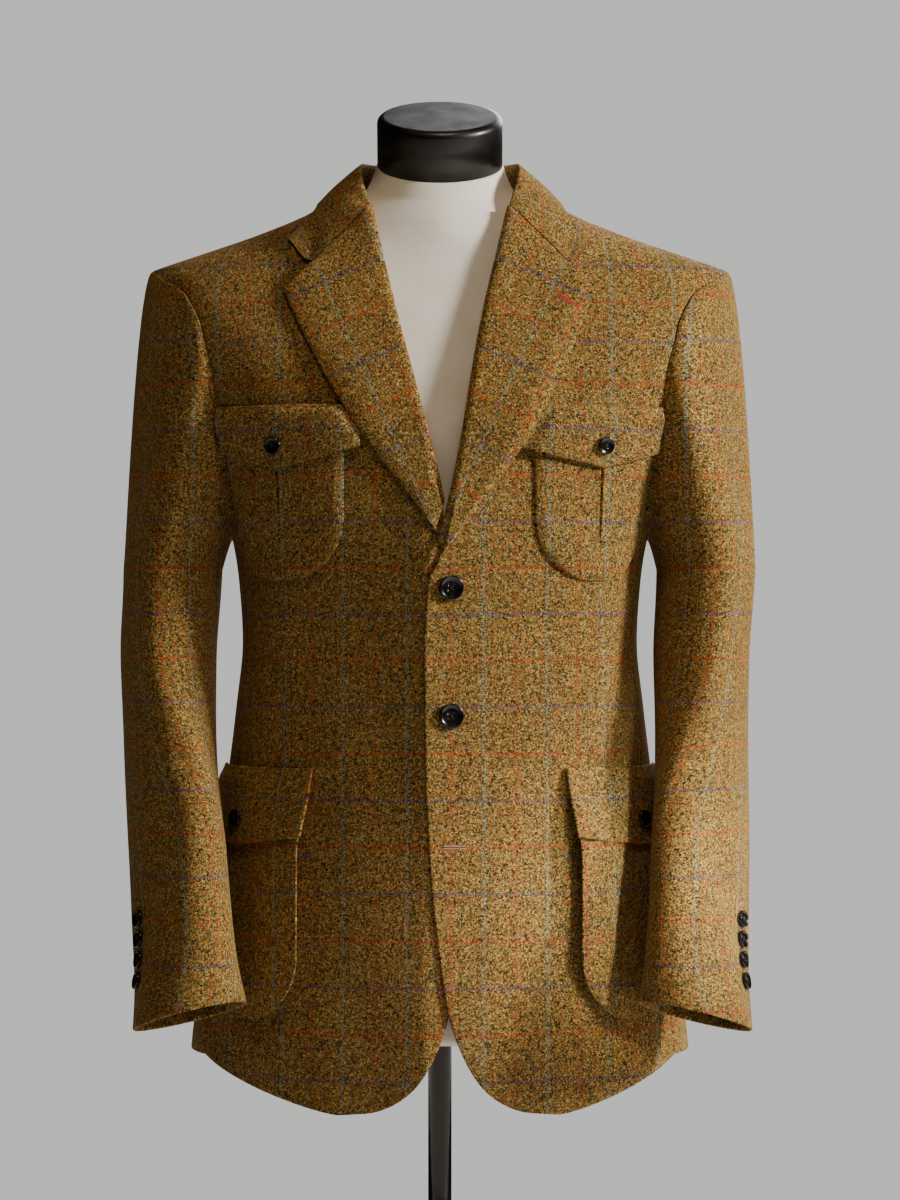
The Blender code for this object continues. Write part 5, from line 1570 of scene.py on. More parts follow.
@dataclass(frozen=True)
class Collar:
    """Collar: a stand round the neck that folds over into the fall."""

    lapels: Lapels
    thin: float = 0.0018
    end_turn: float = 50.0
    blend_turn: float = 68.0      # from here to the end the collar takes the shape of the gorge
    space: tuple[float, float] = (0.0002, 0.0007)     # gorge seam at the neck and at the notch
    space_step: tuple[float, float] = (0.034, 0.030)
    base_inset: float = 0.0030    # the stand begins inside the neck
    base_lift: float = 0.0008
    stand_share: float = 0.45
    stand_hollow: float = 0.0008
    fall_share: float = 0.58
    fall_belly: float = 0.0018
    edge_lift: float = 0.0040     # its outer edge lies over the jacket's shoulder
    tip: tuple[float, float] = (0.124, 1.461)
    line: Table = Table(("turn", "fold_radius", "fold_z", "edge_turn", "edge_z"), (
        (49.0, 0.0770, 1.4930, 69.5, 1.4600), (60.0, 0.0725, 1.5070, 74.0, 1.4730),
        (75.0, 0.0675, 1.5220, 82.0, 1.4880), (95.0, 0.0645, 1.5310, 97.0, 1.4960),
        (135.0, 0.0665, 1.5335, 134.0, 1.4840), (180.0, 0.0680, 1.5340, 180.0, 1.4830),
    ))
    gorge: Table = Table(("back", "height"), (
        (0.0032, -0.0010), (0.0018, 0.0001), (0.0008, 0.0009), (0.0004, 0.0016), (0.0007, 0.0034),
        (0.0022, 0.0052), (0.0062, 0.0064), (0.0340, 0.0060), (0.0520, 0.0053), (0.0640, 0.0047),
        (0.0690, 0.0044),
    ))
    turns: tuple[float, ...] = (50.0, 53.0, 58.0, 65.0, 74.0, 84.0, 96.0, 110.0, 126.0, 144.0, 162.0, 180.0)
    across: tuple[float, ...] = (0.0, 0.18, 0.33, 0.40, 0.45, 0.50, 0.56, 0.70, 0.775, 0.83, 0.85, 1.0)
    cut: Cut = Cut((0.473, 0.118), "folded", ("form_torso",), 0.0293)

    def end(self) -> Array:
        """End of the collar along the gorge seam and the notch, shaped like the top of the lapel.

        Returns:
            Points from the neck to the tip.
        """
        panels = self.lapels.panels
        top = panels.roll_top
        start = float(panels.roll(top))
        _, tip_z, tip_x = self.lapels.outline.rows[-1]
        run = unit(np.array([tip_x - start, tip_z - top]))
        back = self.gorge.column("back")
        space = self.space[0] + (self.space[1] - self.space[0]) * step_up(back, self.space_step)
        x = np.append(start + run[0] * back + self.lapels.gorge_up[0] * space, self.tip[0])
        z = np.append(top + run[1] * back + self.lapels.gorge_up[1] * space, self.tip[1])
        height = np.append(self.gorge.column("height"), self.edge_lift)
        return panels.body.over(1.0, panels.body.turn_at(x, z, False), z, height)

    def row(self, degrees: float) -> Array:
        """Five points across the collar at a turn round the neck.

        Args:
            degrees: turn from the front.

        Returns:
            Points from the neck seam over the fold to the outer edge.
        """
        body = self.lapels.panels.body
        turn = radians(degrees)
        radial = np.array([sin(turn), -cos(turn), 0.0])
        neck_z = body.neck.read("z", np.array(degrees))
        base = body.point(turn, neck_z) - radial * self.base_inset + np.array([0.0, 0.0, self.base_lift])
        fold = radial * float(self.line.read("fold_radius", degrees))
        fold = fold + np.array([0.0, 0.0, float(self.line.read("fold_z", degrees))])
        edge_turn = np.radians(self.line.read("edge_turn", degrees))
        edge_z = self.line.read("edge_z", degrees)
        lift = body.normal(edge_turn, edge_z)
        edge = body.point(edge_turn, edge_z) + lift * self.edge_lift
        middle = fold * (1.0 - self.fall_share) + edge * self.fall_share + lift * self.fall_belly
        low = base * (1.0 - self.stand_share) + fold * self.stand_share - radial * self.stand_hollow
        return np.stack([base, low, fold, middle, edge])

    def shell(self) -> Shell:
        """The whole collar.

        Returns:
            The cloth.
        """
        at = refine(self.across, 4)
        knots = np.array(self.across)
        end = np.stack([through(knots, column, at) for column in self.end().T], axis=-1)
        half = []
        for degrees in refine(self.turns, 5):
            share = float(ease((self.blend_turn - degrees) / (self.blend_turn - self.end_turn)))
            half.append(smooth_line(self.row(float(degrees)), at) * (1.0 - share) + end * share)
        half = np.stack(half)
        mirrored = half[:-1] * np.array([-1.0, 1.0, 1.0])
        face = np.concatenate([half, mirrored[::-1]], axis=0)
        core = face[:, 8:29].mean(axis=1, keepdims=True) - np.array([0.0, 0.0, 0.012])
        along = run_length(face[:, 28])
        middle = (along - along[-1] / 2.0)[:, None]
        cloth = np.stack(np.broadcast_arrays(middle, run_length(face, 1)), axis=-1)
        return Shell(face, inward_of(face, np.broadcast_to(core, face.shape)), cloth, self.thin)

    def build(self, room: Workroom) -> None:
        """Sew the collar."""
        room.sew("collar_cloth", self.shell(), ("collar",))


@dataclass(frozen=True)
class Pocket(PairedCloth):
    """What the two kinds of patch pocket share: a place on a front, and sizes of patch and flap."""

    panels: BodyPanels
    lapels: Lapels
    x: float                      # sideways place of the centre
    z: float                      # level at which it is measured
    top: float                    # seam of the flap
    bottom: float
    half: float
    round: float                  # radius of the foot's corners
    flap_half: float
    flap_side: float              # drop of the flap at its sides
    flap_point: float             # and at its point
    thin: float = 0.0018
    thick: float = 0.0028         # a flap is two cloths and their turned edges
    tuck: float = 0.0             # how far the flap goes under the lapel
    rest: float = 0.0008          # space under cloth that lies on cloth
    lapel_space: float = 0.0012   # kept free beside the lapel
    arm_space: float = 0.0035     # and beside the armhole
    arm_reach: float = 0.095      # which begins this far below its middle

    @cached_property
    def centre(self) -> float:
        """Length round the body from the centre front to the middle of the pocket."""
        body = self.panels.body
        return float(body.arc(body.turn_at(np.array(self.x), np.array(self.z), False), np.array(self.z)))

    def width_at(self, z: Array, least: float) -> Array:
        """Half width of the patch with its rounded foot."""
        below = np.clip((self.bottom + self.round - z) / self.round, 0.0, 1.0)
        return np.maximum(self.half - self.round * (1.0 - np.sqrt(1.0 - below * below)), least)

    def between(self, side: float, across: Array, z: Array, tuck: float) -> Array:
        """Places kept between the lapel's edge and the armhole.

        Args:
            side: 1 for the left, -1 for the right.
            across: lengths from the middle of the pocket.
            z: levels.
            tuck: length allowed under the lapel.

        Returns:
            Kept lengths.
        """
        body = self.panels.body
        edge = self.lapels.outline.read("x", z, "z") + side * body.closing(z)
        low = body.arc(body.turn_at(edge + self.lapel_space - tuck, z, False), z) - self.centre
        foot = np.arccos(np.clip((z - body.arm_middle) / body.arm_half, -1.0, 1.0))
        high = body.arc(body.armhole(foot)[0], z) - self.centre - self.arm_space
        kept = np.where(z > body.arm_middle - self.arm_reach, np.minimum(across, high), across)
        return np.where(z > self.lapels.outline.rows[1][1], np.maximum(kept, low), kept)

    def lay(self, side: float, across: Array, z: Array, height: Array, thickness: float) -> Shell:
        """Cloth over a front at given heights.

        Args:
            side: 1 for the left, -1 for the right.
            across: lengths from the middle of the pocket.
            z: levels.
            height: heights of the face above the front.
            thickness: thickness of the cloth.

        Returns:
            The cloth.
        """
        body = self.panels.body
        turn = body.turn_at(self.centre + across, z, True)
        face = body.over(side, turn, z, height)
        back = body.over(side, turn, z, height - thickness)
        return Shell(face, unit(back - face), body.cloth(turn, z, self.panels.rust(side)), thickness)

    def flap_places(self, steps: Array, share: Array) -> tuple[Array, Array]:
        """Places on the pointed flap.

        Args:
            steps: shares across, -1 to 1.
            share: shares of the drop.

        Returns:
            Lengths from the middle, and levels.
        """
        drop = self.flap_side + (self.flap_point - self.flap_side) * (1.0 - np.abs(steps)) ** 0.9
        z = self.top - share[:, None] * drop[None, :]
        across = np.where(steps < 0.0, self.flap_half + self.tuck, self.flap_half) * steps
        return np.broadcast_to(across, z.shape), z


@dataclass(frozen=True)
class BreastPocket(Pocket):
    """Breast patch pocket with a pleat down its middle and a pointed flap."""

    x: float = 0.130
    z: float = 1.29
    top: float = 1.322
    bottom: float = 1.181
    half: float = 0.0560
    round: float = 0.050
    flap_half: float = 0.0580
    flap_side: float = 0.034
    flap_point: float = 0.050
    tuck: float = 0.0120
    pleat_depth: float = 0.0010
    pleat_bottom: float = 1.205
    pleat_fade: float = 0.030
    pleat_half: tuple[float, float] = (0.002, 0.004)
    sewn_edge: tuple[float, float] = (0.12, 0.007)    # share of the width and height of the foot
    sewn_space: float = 0.0002    # space under the sewn edge
    puff: float = 0.0010          # and how much more the middle has
    flap_lift: float = 0.0012
    flap_bend: float = 0.009      # the flap turns down over this height
    tuck_least: float = 0.33      # its tucked end keeps this share of its height
    tuck_reach: float = 0.010
    slit: float = 0.00065         # half width of the dark fold line of the pleat
    slit_depth: float = 0.0026
    slit_soft: float = 0.0005
    levels: tuple[float, ...] = (1.306, 1.286, 1.264, 1.240, 1.222, 1.208, 1.196, 1.188, 1.183, 1.181)
    patch_cut: Cut = Cut((0.113, 0.126), "laid", FRONTS, 0.0134)
    flap_cut: Cut = Cut((0.127, 0.050), "hung", FRONTS, 0.0060)

    @property
    def flap_face(self) -> float:
        """Height of the flap's face above the front."""
        return self.thin + self.thick + self.pleat_depth + 2.0 * self.rest + self.flap_lift

    def patch(self, side: float) -> Shell:
        """The pocket itself.

        Args:
            side: 1 for the left, -1 for the right.

        Returns:
            The cloth.
        """
        levels = refine(self.levels, 6)
        slit = [0.0, 0.0004, 0.00065, 0.0009, 0.0013, 0.0020, 0.0032, 0.0050]
        wing = np.concatenate([slit, np.linspace(0.009, self.half, 18)])
        steps = np.concatenate([-wing[:0:-1], wing]) / self.half
        across = self.width_at(levels, 0.010)[:, None] * steps[None, :]
        z = np.repeat(levels[:, None], len(steps), axis=1)
        fade = ease((z - self.pleat_bottom) / self.pleat_fade)
        raised = 1.0 - step_up(np.abs(across), self.pleat_half)
        groove = 1.0 - ease((np.abs(across) - self.slit) / self.slit_soft)
        side_share, foot_height = self.sewn_edge
        sewn = ease((1.0 - np.abs(steps)) / side_share)[None, :] * ease((z - self.bottom) / foot_height)
        height = self.thin + self.sewn_space + (self.rest + self.puff) * sewn
        height = height + fade * (self.pleat_depth * raised - self.slit_depth * groove)
        return self.lay(side, self.between(side, across, z, 0.0), z, height, self.thin)

    def flap(self, side: float) -> Shell:
        """The flap over the pocket.

        Args:
            side: 1 for the left, -1 for the right.

        Returns:
            The cloth.
        """
        across, z = self.flap_places(np.linspace(-1.0, 1.0, 49), np.linspace(0.0, 1.0, 25))
        step = self.flap_face - self.thick - self.rest
        across = self.between(side, across, z, self.tuck)
        free = ease((across - self.between(side, np.full(z.shape, -1.0), z, 0.0)) / self.tuck_reach)
        free = self.tuck_least + (1.0 - self.tuck_least) * free
        height = self.thick + self.rest + step * ease((self.top - z) / self.flap_bend) * free
        return self.lay(side, across, z, height, self.thick)

    def pieces(self, side: float) -> list[tuple[str, Shell, Cut]]:
        """One pocket and its flap."""
        return [("breast_pocket", self.patch(side), self.patch_cut),
                ("breast_flap", self.flap(side), self.flap_cut)]


@dataclass(frozen=True)
class LowerPocket(Pocket):
    """Lower bellows pocket: a face that stands off the front, a gusset and a flap."""

    x: float = 0.160
    z: float = 0.95
    top: float = 1.029
    bottom: float = 0.826
    half: float = 0.0680
    round: float = 0.050
    flap_half: float = 0.0640
    flap_side: float = 0.056
    flap_point: float = 0.064
    tuck: float = 0.0070          # the flap reaches further to the front
    bellows: float = 0.0125       # how far the face stands off the front
    bellows_step: tuple[float, float] = (-1.022, 0.065)   # it opens downward
    press: float = 0.88           # the sleeve presses it flat by this share, outward of its inner edge
    press_step: tuple[float, float] = (-0.062, 0.064)
    least: float = 0.0004         # the face's own rise above the front, at the flap's seam
    pad: float = 0.0012
    pad_step: tuple[float, float] = (-1.012, 0.030)
    lean_in: float = 0.0045       # the inner edge of the face leans away from its foot
    lean_drop: float = 0.075      # over this height
    flap_lift: float = 0.0006
    flap_bend: float = 0.014      # the flap turns down over this height
    gape_step: tuple[float, float] = (0.002, 0.006)   # the gusset gapes where it is this high
    gusset_inset: float = 0.0055
    gusset_foot: float = 0.0090   # its inner foot is sewn further out, so the bellows gapes there
    gusset_fold: float = 1.40     # its middle folds inward by this share of its height
    gusset_plain: float = 0.012   # it is cut between two lines of the check
    gusset_top: float = 1.000
    gusset_space: tuple[float, float] = (0.0014, 0.0008)
    gusset_wall: float = 0.0016
    levels: tuple[float, ...] = (1.010, 0.985, 0.962, 0.940, 0.915, 0.888, 0.868, 0.850, 0.837, 0.829, 0.826)
    face_cut: Cut = Cut((0.137, 0.190), "laid", FRONTS, 0.0255)
    gusset_cut: Cut = Cut((0.038, 0.430), "gathered", FRONTS, 0.0077)
    flap_cut: Cut = Cut((0.136, 0.065), "hung", FRONTS, 0.0087)

    def rise(self, z: Array, across: Array) -> Array:
        """Height of the face's inside above the front, pressed flat under the sleeve.

        Args:
            z: levels.
            across: lengths from the middle of the pocket.

        Returns:
            Heights.
        """
        full = 1.0 - self.press * step_up(across, self.press_step)
        lift = self.pad * step_up(-z, self.pad_step) + self.bellows * full * step_up(-z, self.bellows_step)
        return self.rest + self.least + lift

    def lean(self, across: Array, z: Array) -> Array:
        """Shift of the inner edge of the face and of the flap.

        Args:
            across: lengths from the middle of the pocket.
            z: levels.

        Returns:
            Lengths to add.
        """
        return self.lean_in * ease((self.top - z) / self.lean_drop) * np.clip(-across / self.half, 0.0, 1.0)

    def face(self, side: float) -> Shell:
        """The face of the pocket.

        Args:
            side: 1 for the left, -1 for the right.

        Returns:
            The cloth.
        """
        levels = refine(self.levels, 6)
        across = self.width_at(levels, 0.024)[:, None] * np.linspace(-1.0, 1.0, 61)[None, :]
        z = np.repeat(levels[:, None], across.shape[1], axis=1)
        height = self.thin + self.rise(z, across)
        return self.lay(side, across + self.lean(across, z), z, height, self.thin)

    def gusset(self, side: float) -> Shell:
        """The strip that stands between the front and the face.

        Args:
            side: 1 for the left, -1 for the right.

        Returns:
            The cloth.
        """
        body = self.panels.body
        middle = self.bottom + self.round
        half = self.half - self.gusset_inset
        radius = self.round - self.gusset_inset
        angle = np.linspace(0.0, pi / 2.0, 30)
        bend = np.stack([half - radius + radius * np.cos(angle), middle - radius * np.sin(angle)], axis=1)
        level = np.linspace(self.gusset_top, middle + 0.003, 14)
        right = np.concatenate([np.stack([np.full(14, half), level], axis=1), bend])
        line = np.concatenate([right, right[::-1] * np.array([-1.0, 1.0])])
        tangent = unit(np.gradient(line, axis=0))
        aside = np.stack([tangent[:, 1], -tangent[:, 0]], axis=1)
        aside = aside * np.sign(np.sum(aside * (np.array([0.0, middle]) - line), axis=1))[:, None]
        share = np.linspace(0.0, 1.0, 13)[None, :]
        grids = []
        for path in (line, line + aside * self.gusset_wall):
            across = np.repeat(path[:, :1], share.shape[1], axis=1)
            z = np.repeat(path[:, 1:], share.shape[1], axis=1)
            high = self.rise(z, across) - self.gusset_space[1]
            height = self.gusset_space[0] + (high - self.gusset_space[0]) * share ** 2
            gape = np.clip(-across / half, 0.0, 1.0) * step_up(high, self.gape_step)
            fold = self.gusset_fold * high * np.sin(pi * share) - self.gusset_foot * (1.0 - share)
            turn = body.turn_at(self.centre + across + self.lean(across, z) * share + gape * fold, z, True)
            grids.append(body.over(side, turn, z, height))
        run = run_length(grids[0][:, 6])[:, None]
        cloth = np.stack(np.broadcast_arrays(run_length(grids[0], 1) + self.gusset_plain, run), axis=-1)
        return Shell(grids[0], unit(grids[1] - grids[0]), cloth, self.gusset_wall)

    def flap(self, side: float) -> Shell:
        """The flap over the pocket.

        Args:
            side: 1 for the left, -1 for the right.

        Returns:
            The cloth.
        """
        across, z = self.flap_places(np.linspace(-1.0, 1.0, 61), np.linspace(0.0, 1.0, 31))
        over = self.rise(z, across) + self.thin + self.rest + self.flap_lift
        height = self.thick + self.rest + (over - self.rest) * ease((self.top - z) / self.flap_bend)
        return self.lay(side, across + self.lean(across, z), z, height, self.thick)

    def pieces(self, side: float) -> list[tuple[str, Shell, Cut]]:
        """Face, gusset and flap of one pocket.

        Args:
            side: 1 for the left, -1 for the right.

        Returns:
            Name, shape and cut of each.
        """
        return [("lower_pocket", self.face(side), self.face_cut),
                ("lower_gusset", self.gusset(side), self.gusset_cut),
                ("lower_flap", self.flap(side), self.flap_cut)]


def loft_faces(count: int, rings: int, first: int) -> list[list[int]]:
    """Faces of a closed loft: four-sided ones between its rings and a flat one at each end.

    Args:
        count: points in each ring.
        rings: number of rings.
        first: number of the first point.

    Returns:
        Point numbers of each face.
    """
    ring = first + np.arange(count)
    faces = []
    for k in range(rings - 1):
        a = ring + k * count
        faces += np.stack([a, np.roll(a, -1), np.roll(a, -1) + count, a + count], axis=1).tolist()
    return faces + [ring[::-1].tolist(), (ring + (rings - 1) * count).tolist()]


def loft_mesh(name: str, rings: list[Array]) -> Mesh:
    """Closed mesh through rings of points, with flat ends.

    Args:
        name: name of the mesh.
        rings: rings with the same number of points each.

    Returns:
        The mesh.
    """
    mesh = bpy.data.meshes.new(name)
    mesh.from_pydata(np.concatenate(rings).tolist(), [], loft_faces(len(rings[0]), len(rings), 0))
    bm = bmesh.new()
    bm.from_mesh(mesh)
    bmesh.ops.recalc_face_normals(bm, faces=bm.faces)
    for face in bm.faces:
        face.smooth = len(face.verts) == 4
    bm.to_mesh(mesh)
    bm.free()
    return mesh


def turned_rings(base: Array, axis: Array, profile: list[tuple[float, float]], segments: int) -> list[Array]:
    """Rings of a solid turned about an axis.

    Args:
        base: foot of the axis.
        axis: direction of the axis.
        profile: radius and height of each ring.
        segments: points in each ring.

    Returns:
        The rings.
    """
    axis = unit(np.asarray(axis, dtype=float))
    guide = np.array([0.0, 0.0, 1.0]) if abs(axis[2]) < 0.9 else np.array([1.0, 0.0, 0.0])
    across = unit(np.cross(guide, axis))
    angle = tau * np.arange(segments) / segments
    circle = np.cos(angle)[:, None] * across + np.sin(angle)[:, None] * np.cross(axis, across)
    return [np.asarray(base) + circle * radius + axis * height for radius, height in profile]


def rounded(radius: float, height: float, soft: float, steps: int) -> list[tuple[float, float]]:
    """Profile of a disc with a rounded upper rim.

    Args:
        radius: radius of the disc.
        height: its height.
        soft: radius of the rim.
        steps: steps round the rim.

    Returns:
        Radius and height of each ring.
    """
    profile = [(radius, 0.0), (radius, height - soft)]
    for a in np.linspace(0.0, pi / 2.0, steps + 1)[1:]:
        profile.append((radius - soft * (1.0 - cos(a)), height - soft * (1.0 - sin(a))))
    return profile


@dataclass(frozen=True)
class Seat:
    """Place of a button: a point on the cloth and the direction away from it."""

    point: Array
    axis: Array


@dataclass(frozen=True)
class ButtonShape:
    """Four-hole button with a raised, rounded rim."""

    radius: float
    height: float
    hole: float                   # radius of a thread hole
    spread: float                 # distance of the holes from the middle
    segments: int = 40
    lift: float = 0.0006          # space between the button and the cloth
    drill_over: float = 0.002     # a drill passes both faces by this much
    rim: tuple[tuple[float, float], ...] = (
        (0.80, 0.00), (0.92, 0.12), (0.985, 0.36), (1.00, 0.60), (0.985, 0.80), (0.945, 0.95), (0.90, 1.00),
        (0.85, 0.97), (0.78, 0.86), (0.70, 0.76), (0.62, 0.71), (0.40, 0.69), (0.20, 0.68),
    )

    def mesh(self, name: str, seat: Seat) -> Mesh:
        """Turn the button and drill its holes.

        Args:
            name: name of the mesh.
            seat: its place.

        Returns:
            The mesh.
        """
        base = seat.point + seat.axis * self.lift
        profile = [(self.radius * r, self.height * h) for r, h in self.rim]
        rings = turned_rings(base, seat.axis, profile, self.segments)
        blank = add_object(name + "_blank", loft_mesh(name + "_blank", rings))
        drills = []
        for place in self.holes(seat):
            bore = [(self.hole, 0.0), (self.hole, self.height + 2.0 * self.drill_over)]
            rings = turned_rings(place - seat.axis * self.drill_over, seat.axis, bore, 14)
            drill = add_object(name + "_drill", loft_mesh(name + "_drill", rings))
            cutter = blank.modifiers.new("drill", "BOOLEAN")
            cutter.object = drill
            cutter.operation = "DIFFERENCE"
            cutter.solver = "EXACT"
            drills.append(drill)
        graph = bpy.context.evaluated_depsgraph_get()
        mesh = bpy.data.meshes.new_from_object(blank.evaluated_get(graph))
        mesh.name = name
        for used in (blank, *drills):
            bpy.data.objects.remove(used, do_unlink=True)
        return mesh

    def holes(self, seat: Seat) -> Array:
        """Foot of each thread hole.

        Args:
            seat: place of the button.

        Returns:
            Four points, in order round the button.
        """
        base = seat.point + seat.axis * self.lift
        ring = turned_rings(base, seat.axis, [(self.spread, 0.0)], 8)[0]
        return ring[1::2]


@dataclass(frozen=True)
class Buttons:
    """Horn buttons of the front, the pocket flaps and the cuffs, with the thread that holds them."""

    panels: BodyPanels
    sleeves: Sleeves
    breast: BreastPocket
    lower: LowerPocket
    front_shape: ButtonShape = ButtonShape(0.0102, 0.0036, 0.0008, 0.0023)
    small_shape: ButtonShape = ButtonShape(0.0072, 0.0030, 0.00065, 0.0017)
    front_x: float = 0.009
    front_z: tuple[float, float] = (1.176, 1.072)
    breast_z: float = 1.2905
    lower_z: float = 0.986
    cuff_z: tuple[float, ...] = (0.9110, 0.8958, 0.8806, 0.8654)
    cuff_around: float = -4.0

    def front_seat(self, z: float) -> Seat:
        """Place of a front button.

        Args:
            z: level.

        Returns:
            The place, square to the slope of the cloth.
        """
        body = self.panels.body
        across = self.front_x + np.array([0.0, 0.004, 0.0])
        levels = z + np.array([0.0, 0.0, 0.004])
        turns = body.turn_at(across, levels, False)
        point, beside, above = body.over(1.0, turns, levels, np.zeros(3))
        return Seat(point, unit(np.cross(beside - point, above - point)))

    def flap_seat(self, pocket: Pocket, side: float, z: float, height: float) -> Seat:
        """Place of a button on a pocket flap.

        Args:
            pocket: the pocket.
            side: 1 for the left, -1 for the right.
            z: level.
            height: height of the flap's face above the front.

        Returns:
            The place.
        """
        body = self.panels.body
        turn = body.turn_at(np.array(pocket.centre), np.array(z), True)
        point = body.over(side, turn, np.array(z), np.array(height))
        above = body.over(side, turn, np.array(z), np.array(height + 0.01))
        return Seat(point, unit(above - point))

    def cuff_seat(self, side: float, z: float) -> Seat:
        """Place of a cuff button.

        Args:
            side: 1 for the left, -1 for the right.
            z: level.

        Returns:
            The place.
        """
        sleeves = self.sleeves
        around = np.array(radians(self.cuff_around))
        way = np.array(1.0 + (z - sleeves.top) / (sleeves.bottom - sleeves.top))
        h = 1e-3
        across = sleeves.point(around + h, way) - sleeves.point(around - h, way)
        along = sleeves.point(around, way + h) - sleeves.point(around, way - h)
        axis = unit(np.cross(across, along))
        axis = axis * np.sign(axis[0]) * np.array([side, 1.0, 1.0])
        return Seat(sleeves.hang(side, sleeves.point(around, way)), axis)

    def seats(self) -> list[tuple[str, ButtonShape, Seat]]:
        """Name, shape and place of every button.

        Returns:
            One entry for each button.
        """
        found = []
        for label, z in zip(("upper", "lower"), self.front_z):
            found.append(("front_button_" + label, self.front_shape, self.front_seat(z)))
        lower_face = self.lower.thin + self.lower.thick + self.lower.rest + self.lower.flap_lift
        lower_face += float(self.lower.rise(np.array(self.lower_z), np.array(0.0)))
        for side, word in SIDES:
            seat = self.flap_seat(self.breast, side, self.breast_z, self.breast.flap_face)
            found.append(("breast_button_" + word, self.small_shape, seat))
            seat = self.flap_seat(self.lower, side, self.lower_z, lower_face)
            found.append(("lower_button_" + word, self.small_shape, seat))
            for number, z in enumerate(self.cuff_z, 1):
                found.append((f"cuff_button_{word}_{number}", self.small_shape, self.cuff_seat(side, z)))
        return found

    def build(self, room: Workroom) -> None:
        """Turn and place the buttons."""
        for name, shape, seat in self.seats():
            room.place(shape.mesh(name + "_horn", seat), "horn", (name,), "horn")


def bars(name: str, ends: list[tuple[Array, Array]], radius: float) -> Mesh:
    """Short stretches of thread, each a rod with rounded ends.

    Args:
        name: name of the mesh.
        ends: first and last point of each stretch.
        radius: radius of the thread.

    Returns:
        The mesh.
    """
    points = []
    faces = []
    for first, last in ends:
        length = float(np.linalg.norm(last - first))
        half = [(radius * 0.35, 0.0), (radius * 0.85, radius * 0.4), (radius, radius)]
        profile = half + [(r, length - h) for r, h in half[::-1]]
        rings = turned_rings(first, last - first, profile, THREAD_SIDES)
        faces += loft_faces(THREAD_SIDES, len(rings), len(points) * THREAD_SIDES)
        points += rings
    mesh = bpy.data.meshes.new(name)
    mesh.from_pydata(np.concatenate(points).tolist(), [], faces)
    mesh.polygons.foreach_set("use_smooth", np.ones(len(faces), dtype=bool))
    return mesh


def on_cloth(shell: Shell, x: float, z: float) -> tuple[Array, Array]:
    """Point of a cloth that is seen from the front at a place.

    Args:
        shell: the cloth.
        x: place across.
        z: level.

    Returns:
        The point and the direction away from the cloth.
    """
    seen = shell.inward.reshape(-1, 3)[:, 1] > 0.2
    points = shell.face.reshape(-1, 3)[seen]
    near = points[np.argsort((points[:, 0] - x) ** 2 + (points[:, 2] - z) ** 2)[:9]]
    plane = np.stack([np.ones(len(near)), near[:, 0] - x, near[:, 2] - z], axis=1)
    y, slope_x, slope_z = np.linalg.lstsq(plane, near[:, 1], rcond=None)[0]
    return np.array([x, y, z]), unit(np.array([slope_x, -1.0, slope_z]))


@dataclass(frozen=True)
class Buttonhole:
    """Worked buttonhole: purl stitches side by side along both lips of a slit, whose open gap is painted
    shade in black thread.
    """

    name: str
    start: tuple[float, float]    # place across and level of its ends
    end: tuple[float, float]
    shade: ThreadShade
    lip: float = 0.0016           # length of a purl stitch
    twist: float = 0.00042        # radius of the thread
    # the open slit and its eye are painted shade: black thread as wide as the gap
    gap: float = 0.00015          # half width of the open slit
    pitch: float = 1.9            # spacing of the stitches, in radii of the thread
    eye: float = 1.6              # half width of the eye, in half widths of the slit

    def stitches(self, shell: Shell) -> list[tuple[Array, Array]]:
        """Lay the stitches on a cloth.

        Args:
            shell: the cloth.

        Returns:
            First and last point of each stitch.
        """
        start = np.array(self.start)
        end = np.array(self.end)
        length = float(np.linalg.norm(end - start))
        run = (end - start) / length
        count = max(2, round(length / (self.pitch * self.twist)))
        found = []
        for share in np.linspace(0.0, 1.0, count):
            x, z = start + (end - start) * share
            point, out = on_cloth(shell, float(x), float(z))
            aside = unit(np.cross(out, np.array([run[0], 0.0, run[1]])))
            for sign in (1.0, -1.0):
                inner = point + aside * sign * self.gap + out * 0.0001
                found.append((inner, inner + aside * sign * self.lip))
        return found

    def slit(self, shell: Shell) -> list[tuple[Array, Array]]:
        """Painted shade of the open slit: black thread along it, with a wider eye at its front end.

        Args:
            shell: the cloth.

        Returns:
            First and last point of each stretch.
        """
        start = np.array(self.start)
        run = np.array(self.end) - start
        line = []
        for share in np.linspace(-0.06, 1.0, 12):
            point, _ = on_cloth(shell, *(start + run * share))
            line.append(point)
        eye = np.array([0.0, 0.0, self.eye * self.gap])
        sides = [(line[0] + eye * sign, line[1] + eye * sign) for sign in (1.0, -1.0)]
        return list(zip(line, line[1:])) + sides


